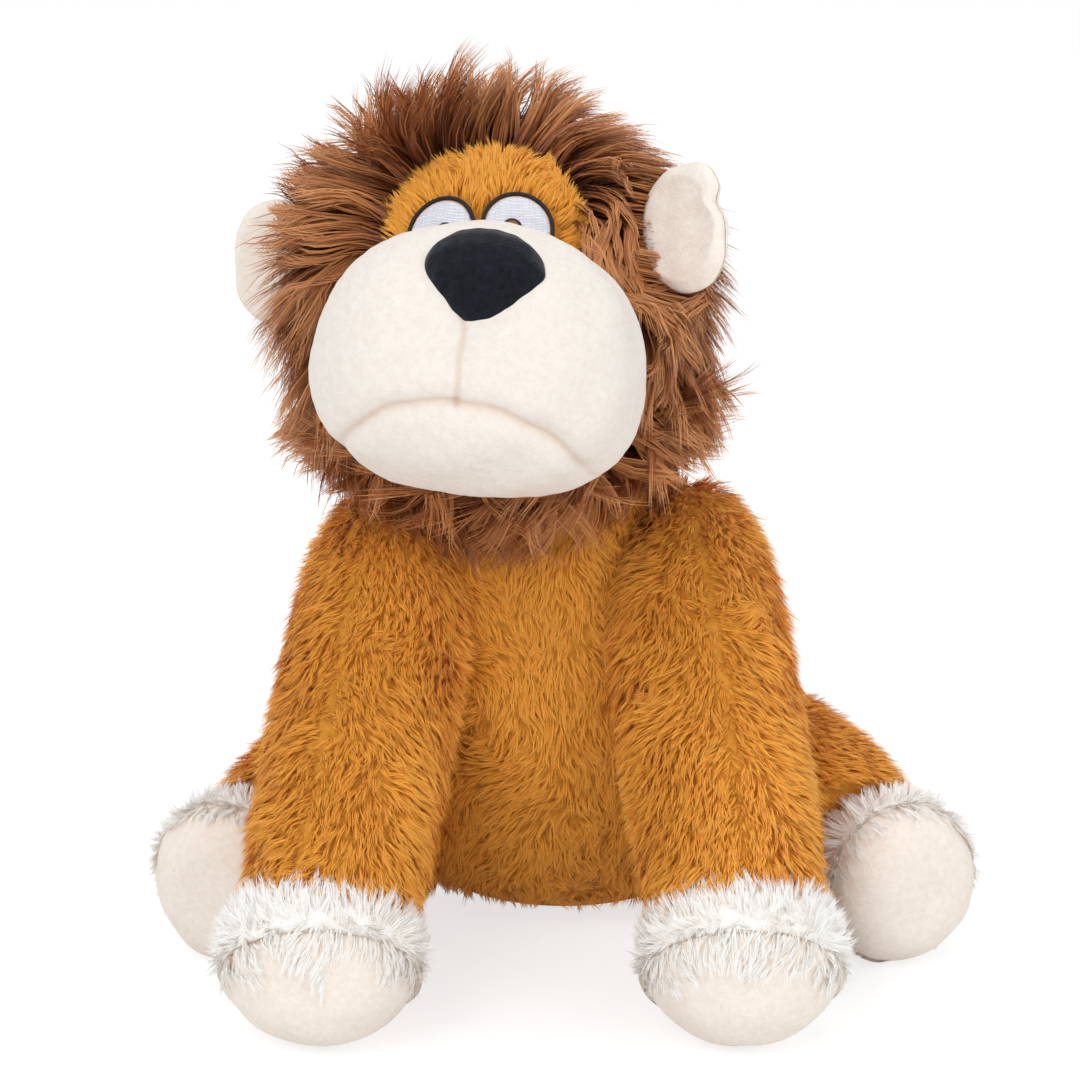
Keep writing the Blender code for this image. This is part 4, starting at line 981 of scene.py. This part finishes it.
def cap(centre, half_width, half_height, skin, thickness, rows=40, columns=96):
    """A raised oval on the head, round a way out of it: points, faces, and each point's place in the oval.

    A point is the way out plus its place across and up, made as long as the skin's radius plus the height,
    which is a rounded step: the fourth root of one less the eighth power of the share out from the middle.
    The back closes it, a little under the skin.
    """
    across, up = facing(centre)
    share = np.concatenate([np.linspace(0, 1, rows + 1)[1:], np.linspace(1, 0, rows // 4 + 2)[1:-1]])
    turn = np.arange(columns) / columns * math.tau
    x = np.concatenate([[0], (share[:, None] * np.cos(turn)).ravel(), [0]])
    z = np.concatenate([[0], (share[:, None] * np.sin(turn)).ravel(), [0]])
    front = np.concatenate([[1], np.repeat(np.arange(len(share)) < rows, columns), [0]])
    reach = np.hypot(x, z)
    height = np.where(front, thickness * np.clip(1 - reach**8, 0, 1) ** 0.25, -0.0008 * (1 - reach**2))
    spots = centre * skin + np.outer(x * half_width, across) + np.outer(z * half_height, up)
    # these rings run round the other way from a cover's, so their faces are turned over
    faces = [np.roll(f[:, ::-1], 1, 1) for f in ring_faces(len(share), columns)]
    return unit(spots) * (skin + height)[:, None], faces, np.stack([x, z], -1)


# where the eyes are embroidered, so that the pile stays off them
EYE_SKIN, EYE_RADIUS, EYE_TALL, EYE_SPREAD, EYE_RISE = 0.0500, 0.0092, 1.13, 0.0214, 0.0175


def eye_way(side):
    x = side * EYE_SPREAD / 2
    return unit(np.array([x, -math.sqrt(EYE_SKIN**2 - x * x - EYE_RISE**2), EYE_RISE]))


brow_way = unit(np.array([0, -0.0405, BROW_RISE]))
points, faces, _ = cap(brow_way, 0.029, 0.029, HEAD_SKIN + 0.0002, BROW_SKIN - HEAD_SKIN)
brow = shown("brow_backing", on_neck(points), faces, GOLD_UNDERPILE, "head")
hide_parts("brow_patch")
rng = np.random.default_rng(101)
across, up = facing(brow_way)
spots = rng.uniform(-1, 1, (BROW_TUFTS, 2)) * BROW_REACH
spots = spots[np.hypot(*spots.T) < BROW_REACH]
out = unit(brow_way * BROW_SKIN + spots[:, :1] * across + spots[:, 1:] * up)
roots = out * BROW_SKIN
kept = (in_brow(roots) < 1.06) & (in_muzzle(roots) > 0.85)
roots, out, spots = roots[kept], out[kept], spots[kept]
comb = spots[:, :1] * RIGHT * 30 + 0.9 * UP + 0.3 * drift(roots, 0.012, 102)
for side, _ in SIDES:
    off = roots - eye_way(side) * BROW_SKIN
    far = np.linalg.norm(off, axis=1)
    kept = far > EYE_RADIUS + 0.0018
    roots, out, comb, off, far = (a[kept] for a in (roots, out, comb, off, far))
    comb = comb + off / far[:, None] * np.exp(-((far - EYE_RADIUS) / 0.004))[:, None] * 1.5
lines, flat = tufts(roots, out, comb, 103, BROW_FIBRES, BROW_SPREAD, BROW_PILE, (0.5, 1.3), 0.4, 0.06)
lines, flat = on_neck(lines), flat @ HEAD_TURN.T
tone = dye(roots, 0.02, 104, BROW_FIBRES, 0.3)
pile("brow_pile", lines, flat, BROW_FIBRE_WIDTH, tone, GOLD_PILE, "head")


# The muzzle is three panels of cream velour, two cheeks and a chin, sewn down the middle and along the
# mouth, and stuffed full, so that the seams pull in.

MOUTH_RADIUS, MOUTH_RISE = 0.052, -0.0338
# the lion's right half of the outline, from the top round to the chin, in shares of half the size
MUZZLE_OUTLINE = ((0, 1), (0.5, 0.86), (0.88, 0.5), (1, -0.2), (0.88, -0.64), (0.52, -0.92), (0, -1))
# place along the muzzle, size of the outline there, and rise
MUZZLE_RINGS = (
    (0, 0.88, 0),
    (0.3, 1.02, 0),
    (0.62, 0.98, 0),
    (0.86, 0.78, 0.02),
    (0.98, 0.48, 0.04),
    (1, 0.22, 0.04),
)


def outline_cage(rings, outline, across, up):
    """Rings shaped as an outline whose half is given and mirrored, closed at both ends. Each ring is given
    as its centre, half width and half height."""
    full = np.array([(-x, z) for x, z in outline] + [(x, z) for x, z in outline[-2:0:-1]])
    swell = 3 / (2 + math.cos(math.tau / len(full)))
    made = [c + swell * (full[:, :1] * wide * across + full[:, 1:] * high * up) for c, wide, high in rings]
    return closed_ends(made)


def muzzle_ring(along, size, rise, grow):
    end = {0: -grow, 1: grow}.get(along, 0)
    centre = -BACK * (MUZZLE_BACK + MUZZLE_LENGTH * along + end)
    centre += UP * (MUZZLE_HEIGHT / 2 * rise - MUZZLE_DROP)
    return askew(centre), MUZZLE_WIDTH / 2 * size + grow, MUZZLE_HEIGHT / 2 * size + grow


def seam_marks(points):
    """How far each point of the muzzle is below or above the mouth's seam and beside the middle one, and how
    near it is to each, from 1 on it to 0. Both fade towards the back, and the mouth at its corners."""
    off = (points + UP * MUZZLE_DROP) @ MUZZLE_TURN - UP * MUZZLE_DROP
    x = off[:, 0] + 0.0002 * np.sin(off[:, 2] * 500)
    arc = np.hypot(x, off[:, 2] - MOUTH_RISE + MOUTH_RADIUS) - MOUTH_RADIUS + 0.0002 * np.sin(x * 400)
    front = np.clip((-off[:, 1] - 0.045) / 0.02, 0, 1)
    mouth = front * np.clip((0.041 - np.abs(x)) / 0.012, 0, 1)
    middle = front * (arc > -0.001) * np.clip((0.004 - off[:, 2]) / 0.01, 0, 1)
    return arc, x, mouth, middle


# the seam colour is painted shade for the creases of the mouth's and the middle seam
MUZZLE_VELOUR = velour_finish("Polyester velour, cream, sewn", "#ede5dc", "#f3ece4", seam="#e0cab8")
muzzle_rings = [muzzle_ring(*row, -VELOUR_DEPTH) for row in MUZZLE_RINGS]
muzzle_cage = outline_cage(muzzle_rings, MUZZLE_OUTLINE, MUZZLE_TURN @ RIGHT, MUZZLE_TURN @ UP)
points, out, faces = cover_grid(muzzle_cage, 180, 260)
arc, x, mouth, middle = seam_marks(points)
groove = mouth * (0.0022 * np.exp(-((arc / 0.0030) ** 2)) + 0.0008 * np.exp(-((arc / 0.0010) ** 2)))
groove += middle * (0.0009 * np.exp(-((x / 0.0024) ** 2)) + 0.0005 * np.exp(-((x / 0.0009) ** 2)))
swell = 0.0004 * drift(points, 0.024, 111)[:, :1] + 0.00012 * drift(points, 0.004, 112)[:, :1]
points = points - out * groove[:, None] + out * swell
# painted shade along the mouth's and the middle seam's creases, strongest on each seam
painted_seam_shade = 0.75 * mouth * np.exp(-((arc / 0.0011) ** 2)) + 0.6 * middle * np.exp(-((x / 0.0009) ** 2))
points, marks = on_neck(points), {"seam": painted_seam_shade}
muzzle = shown("muzzle", points, faces, MUZZLE_VELOUR, "head", marks=marks)
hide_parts("cheek_right", "cheek_left", "chin")


# The nose is a puffed three-cornered piece of black velour, sewn on at the top of the middle seam.

NOSE_WIDTH, NOSE_HEIGHT, NOSE_THICKNESS, NOSE_REACH = 0.034, 0.0275, 0.015, 0.0765
NOSE_OUTLINE = ((0, 1.00), (0.60, 0.88), (1.08, 0.24), (0.84, -0.44), (0.36, -0.92), (0, -1.06))
NOSE_RINGS = ((0.0, 0.86), (0.45, 1.0), (0.85, 0.72), (1.0, 0.30))
NOSE_TURN = MUZZLE_TURN @ rotation(RIGHT, -14)

# Polyester velour, black with a little blue, whose nap catches light as fine grey grains.
BLACK_VELOUR = velour_finish("Polyester velour, black", "#06070b", "#151923", bloom=0.35)
nose_back = askew(RIGHT * 0.003 - UP * 0.0005 - BACK * NOSE_REACH)
nose_rings = [
    (nose_back - NOSE_TURN @ BACK * NOSE_THICKNESS * along, NOSE_WIDTH / 2 * size, NOSE_HEIGHT / 2 * size)
    for along, size in NOSE_RINGS
]
nose_cage = outline_cage(nose_rings, NOSE_OUTLINE, NOSE_TURN @ RIGHT, NOSE_TURN @ UP)
points, out, faces = cover_grid(nose_cage, 80, 110)
points += out * 0.00025 * drift(points, 0.006, 121)[:, :1]
nose = shown("nose_velour", on_neck(points), faces, BLACK_VELOUR, "head")
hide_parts("nose")


# The eyes are embroidered on the brow: rows of white fill stitch, a raised outline of black satin stitch
# round each, and a small pupil that looks to the middle.

EYE_THICKNESS, OUTLINE_WIDTH, PUPIL_RADIUS = 0.0012, 0.0011, 0.0028
STITCH_ROW, STITCH_LENGTH, SATIN_THREADS = 0.0005, 0.0032, 150
# steps round the outline and round its thickness, and the width of the stitches' map in eye radii
OUTLINE_STEPS, OUTLINE_SIDES, STITCH_MAP = 900, 10, 2.4


def fill_stitch_finish():
    """Rayon thread, white, in rows half a millimetre apart whose stitches end at staggered places."""
    tree, shader, made = material("Rayon fill stitch, white", Roughness=0.42, Sheen_Weight=0.1)
    at = add(tree, "ShaderNodeUVMap", uv_map="OFBake").outputs[0]
    size = (STITCH_MAP * EYE_RADIUS, STITCH_MAP * EYE_RADIUS * EYE_TALL, 1)
    spot = add(tree, "ShaderNodeVectorMath", {0: at, 1: size}, operation="MULTIPLY").outputs[0]
    stitches = {
        "Vector": spot,
        "Color1": linear("#f1f2f8"),
        "Color2": linear("#dfe1ec"),
        "Mortar": linear("#b2b4c6"),
        "Scale": 100.0,
        "Mortar Size": 0.007,
        "Mortar Smooth": 0.6,
        "Brick Width": 100 * STITCH_LENGTH,
        "Row Height": 100 * STITCH_ROW,
    }
    rows = add(tree, "ShaderNodeTexBrick", stitches, offset=0.37)
    tree.links.new(rows.outputs["Color"], shader.inputs["Base Color"])
    bump = add(tree, "ShaderNodeBump", {"Height": rows.outputs["Fac"], "Distance": 0.0002}, invert=True)
    tree.links.new(bump.outputs["Normal"], shader.inputs["Normal"])
    return made


def satin_finish(name, low, high):
    """Rayon thread in close satin stitch, coloured from low to high by each point's crest mark: on the
    outline each thread is painted paler on its crest, a painted highlight; on the pupil the mark is the amber
    middle.
    """
    tree, shader, made = material(name, Roughness=0.5, Specular_IOR_Level=0.3)
    crest = add(tree, "ShaderNodeAttribute", attribute_name="crest").outputs["Fac"]
    tree.links.new(ramp(tree, crest, (low, high)), shader.inputs["Base Color"])
    return made


FILL_STITCH = fill_stitch_finish()
SATIN = satin_finish("Rayon satin stitch, black", "#040405", "#131316")
PUPIL_SATIN = satin_finish("Rayon satin stitch, amber ringed with black", "#08080a", "#8a5320")

for side, name in SIDES:
    look = eye_way(side)
    points, faces, spots = cap(look, EYE_RADIUS, EYE_RADIUS * EYE_TALL, EYE_SKIN, EYE_THICKNESS, 60, 120)
    points, spots = on_neck(points), 0.5 + spots / STITCH_MAP
    white = shown(f"eye_{name}_white_stitch", points, faces, FILL_STITCH, "head", spots)
    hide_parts(f"eye_{name}_white")

    across, up = facing(look)
    turn = np.arange(OUTLINE_STEPS) / OUTLINE_STEPS * math.tau
    section = np.arange(OUTLINE_SIDES) / OUTLINE_SIDES * math.tau
    # the crest mark raises each thread a little and paints a highlight along its crest
    crest = 0.5 + 0.5 * np.cos(SATIN_THREADS * turn)[:, None] + 0 * section
    far = 1 + OUTLINE_WIDTH / 2 / EYE_RADIUS * (1 + (1 + 0.06 * crest) * np.cos(section))
    high = EYE_SKIN + EYE_THICKNESS * 0.8 + (0.0005 + 0.0001 * crest) * np.sin(section)
    ring = (
        look * EYE_SKIN
        + (far * np.cos(turn)[:, None])[..., None] * EYE_RADIUS * across
        + (far * np.sin(turn)[:, None])[..., None] * EYE_RADIUS * EYE_TALL * up
    )
    points = on_neck((unit(ring) * high[..., None]).reshape(-1, 3))
    row, column = np.meshgrid(np.arange(OUTLINE_STEPS), np.arange(OUTLINE_SIDES), indexing="ij")
    after, beside = (row + 1) % OUTLINE_STEPS * OUTLINE_SIDES, (column + 1) % OUTLINE_SIDES
    row *= OUTLINE_SIDES
    faces = [np.stack([row + column, after + column, after + beside, row + beside], -1).reshape(-1, 4)]
    marks = {"crest": crest.ravel()}
    outline = shown(f"eye_{name}_satin_outline", points, faces, SATIN, "head", marks=marks)
    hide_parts(f"eye_{name}_outline")

    middle = unit(look * EYE_SKIN - side * 0.0016 * RIGHT - 0.0005 * UP)
    skin, thickness = EYE_SKIN + 0.0004, EYE_THICKNESS + 0.0004
    points, faces, spots = cap(middle, PUPIL_RADIUS, PUPIL_RADIUS, skin, thickness, 20, 60)
    points = on_neck(points)
    marks = {"crest": np.clip((0.68 - np.hypot(*spots.T)) / 0.1, 0, 1)}
    pupil = shown(f"eye_{name}_pupil_satin", points, faces, PUPIL_SATIN, "head", marks=marks)
    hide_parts(f"eye_{name}_pupil")


# Each ear is two velour panels sewn round the rim and lightly stuffed, the front one dished. The left ear
# stands further forward than the right one, and both are sewn in through the mane.

EAR_THICKNESS = 0.011
# place from root to rim, height and thickness
EAR_RINGS = (
    (0.00, 0.90, 0.28),
    (0.20, 1.45, 1.00),
    (0.60, 1.85, 0.95),
    (0.90, 1.40, 0.75),
    (1.00, 0.75, 0.45),
)

for side, name in SIDES:
    (way, back), root, body = ear_ways(side), EAR_ROOTS[side], f"{name}_ear"
    places = [root + way * EAR_REACH * along for along, _, _ in EAR_RINGS]
    halves = [(EAR_ROOT_HEIGHT / 2 * tall, EAR_THICKNESS / 2 * thick) for _, tall, thick in EAR_RINGS]
    whole, out, faces = cover_grid(carried_cage(places, halves, UP, -VELOUR_DEPTH), 80, 110)
    off = whole - root
    along, tall, thick = off @ way / EAR_REACH, off[:, 2] / (EAR_ROOT_HEIGHT * 0.92), off @ back
    dish = np.clip(1 - ((along - 0.5) / 0.42) ** 2 - (tall / 0.72) ** 2, 0, 1) ** 0.8
    whole = whole + np.where(thick < 0, 0.0026 * dish, 0)[:, None] * back
    whole += out * 0.0003 * drift(whole, 0.012, 131 + side)[:, :1]
    if side > 0:
        whole -= (0.0032 * np.exp(-(((tall - 0.32) / 0.16) ** 2)) * np.clip(along, 0, 1) ** 3)[:, None] * way
    for half, plane in (("front", back), ("back", -back)):
        points = on_neck(behind(whole, root - plane * 0.0002, plane))
        panel = shown(f"ear_{name}_{half}_velour", points, faces, CREAM_VELOUR, body)
        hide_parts(f"ear_{name}_{half}")


# The studio: a white floor without an edge, and large soft lights in front, above and at both sides.


def seen_directly(tree):
    """1 where a ray comes from the camera, or from it by a reflection or through glass."""
    path = add(tree, "ShaderNodeLightPath").outputs
    seen = path["Is Camera Ray"]
    for way in ("Is Glossy Ray", "Is Transmission Ray"):
        seen = add(tree, "ShaderNodeMath", {0: seen, 1: path[way]}, operation="MAXIMUM").outputs[0]
    return seen


def paper_finish():
    """White paper: what the camera sees is part its own light and part lit, so it stays white round a faint
    shadow, and the object is lit by its plain colour."""
    tree, shader, made = material("White paper", Roughness=0.9)
    shader.inputs["Base Color"].default_value = linear("#f4f4f4")
    glow = add(tree, "ShaderNodeEmission", {"Strength": 0.72})
    paper = add(tree, "ShaderNodeBsdfDiffuse", {"Color": linear("#a8a8a8")})
    both = add(tree, "ShaderNodeAddShader", {0: paper.outputs[0], 1: glow.outputs[0]})
    looks = {0: seen_directly(tree), 1: shader.outputs[0], 2: both.outputs[0]}
    mixed = add(tree, "ShaderNodeMixShader", looks)
    tree.links.new(mixed.outputs[0], tree.nodes["Material Output"].inputs["Surface"])
    return made


floor_mesh = bpy.data.meshes.new("floor")
floor_mesh.from_pydata([(-8, -8, 0), (8, -8, 0), (8, 8, 0), (-8, 8, 0)], [], [(0, 1, 2, 3)])
floor_mesh.materials.append(paper_finish())
floor = put("floor", floor_mesh)

world = bpy.data.worlds.new("studio")
bpy.context.scene.world = world
world.use_nodes = True
sky = world.node_tree
lit = sky.nodes["Background"]
lit.inputs["Color"].default_value = (1, 1, 1, 1)
lit.inputs["Strength"].default_value = 0.55
seen = add(sky, "ShaderNodeBackground", {"Color": (1, 1, 1, 1), "Strength": 1.0})
either = add(sky, "ShaderNodeMixShader", {0: seen_directly(sky), 1: lit.outputs[0], 2: seen.outputs[0]})
sky.links.new(either.outputs[0], sky.nodes["World Output"].inputs["Surface"])

LIT_SPOT = (0, 0, 0.12)
for name, spot, size, power in (
    ("key", (-0.9, -1.4, 1.5), 1.2, 17),
    ("fill", (1.3, -1.2, 0.9), 1.2, 9),
    ("top", (0.0, 0.5, 1.9), 1.4, 9),
):
    light = bpy.data.lights.new(name, "AREA")
    light.size, light.energy = size, power
    lamp = put(name, light)
    lamp.location = spot
    lamp.rotation_euler = (Vector(LIT_SPOT) - lamp.location).to_track_quat("-Z", "Y").to_euler()

# light passes many times from fibre to fibre in pale pile
bpy.context.scene.cycles.diffuse_bounces = 8

# the camera looks down a little, at a spot in the object, which it shows this many pixels to the metre
CAMERA_FAR, CAMERA_TILT, CAMERA_X, CAMERA_Z = 1.10, math.radians(17), -0.00716, 0.1126
PICTURE_WIDTH, PIXELS_PER_METRE, SENSOR_WIDTH = 1080, 3350, 36
camera = put("camera", bpy.data.cameras.new("camera"))
camera.data.sensor_width, camera.data.sensor_fit = SENSOR_WIDTH, "HORIZONTAL"
camera.data.lens = PIXELS_PER_METRE * CAMERA_FAR / PICTURE_WIDTH * SENSOR_WIDTH
rise = CAMERA_Z + CAMERA_FAR * math.sin(CAMERA_TILT)
camera.location = (CAMERA_X, -CAMERA_FAR * math.cos(CAMERA_TILT), rise)
camera.rotation_euler = (math.pi / 2 - CAMERA_TILT, 0, 0)
bpy.context.scene.camera = camera
bpy.context.scene.view_settings.view_transform = "Standard"
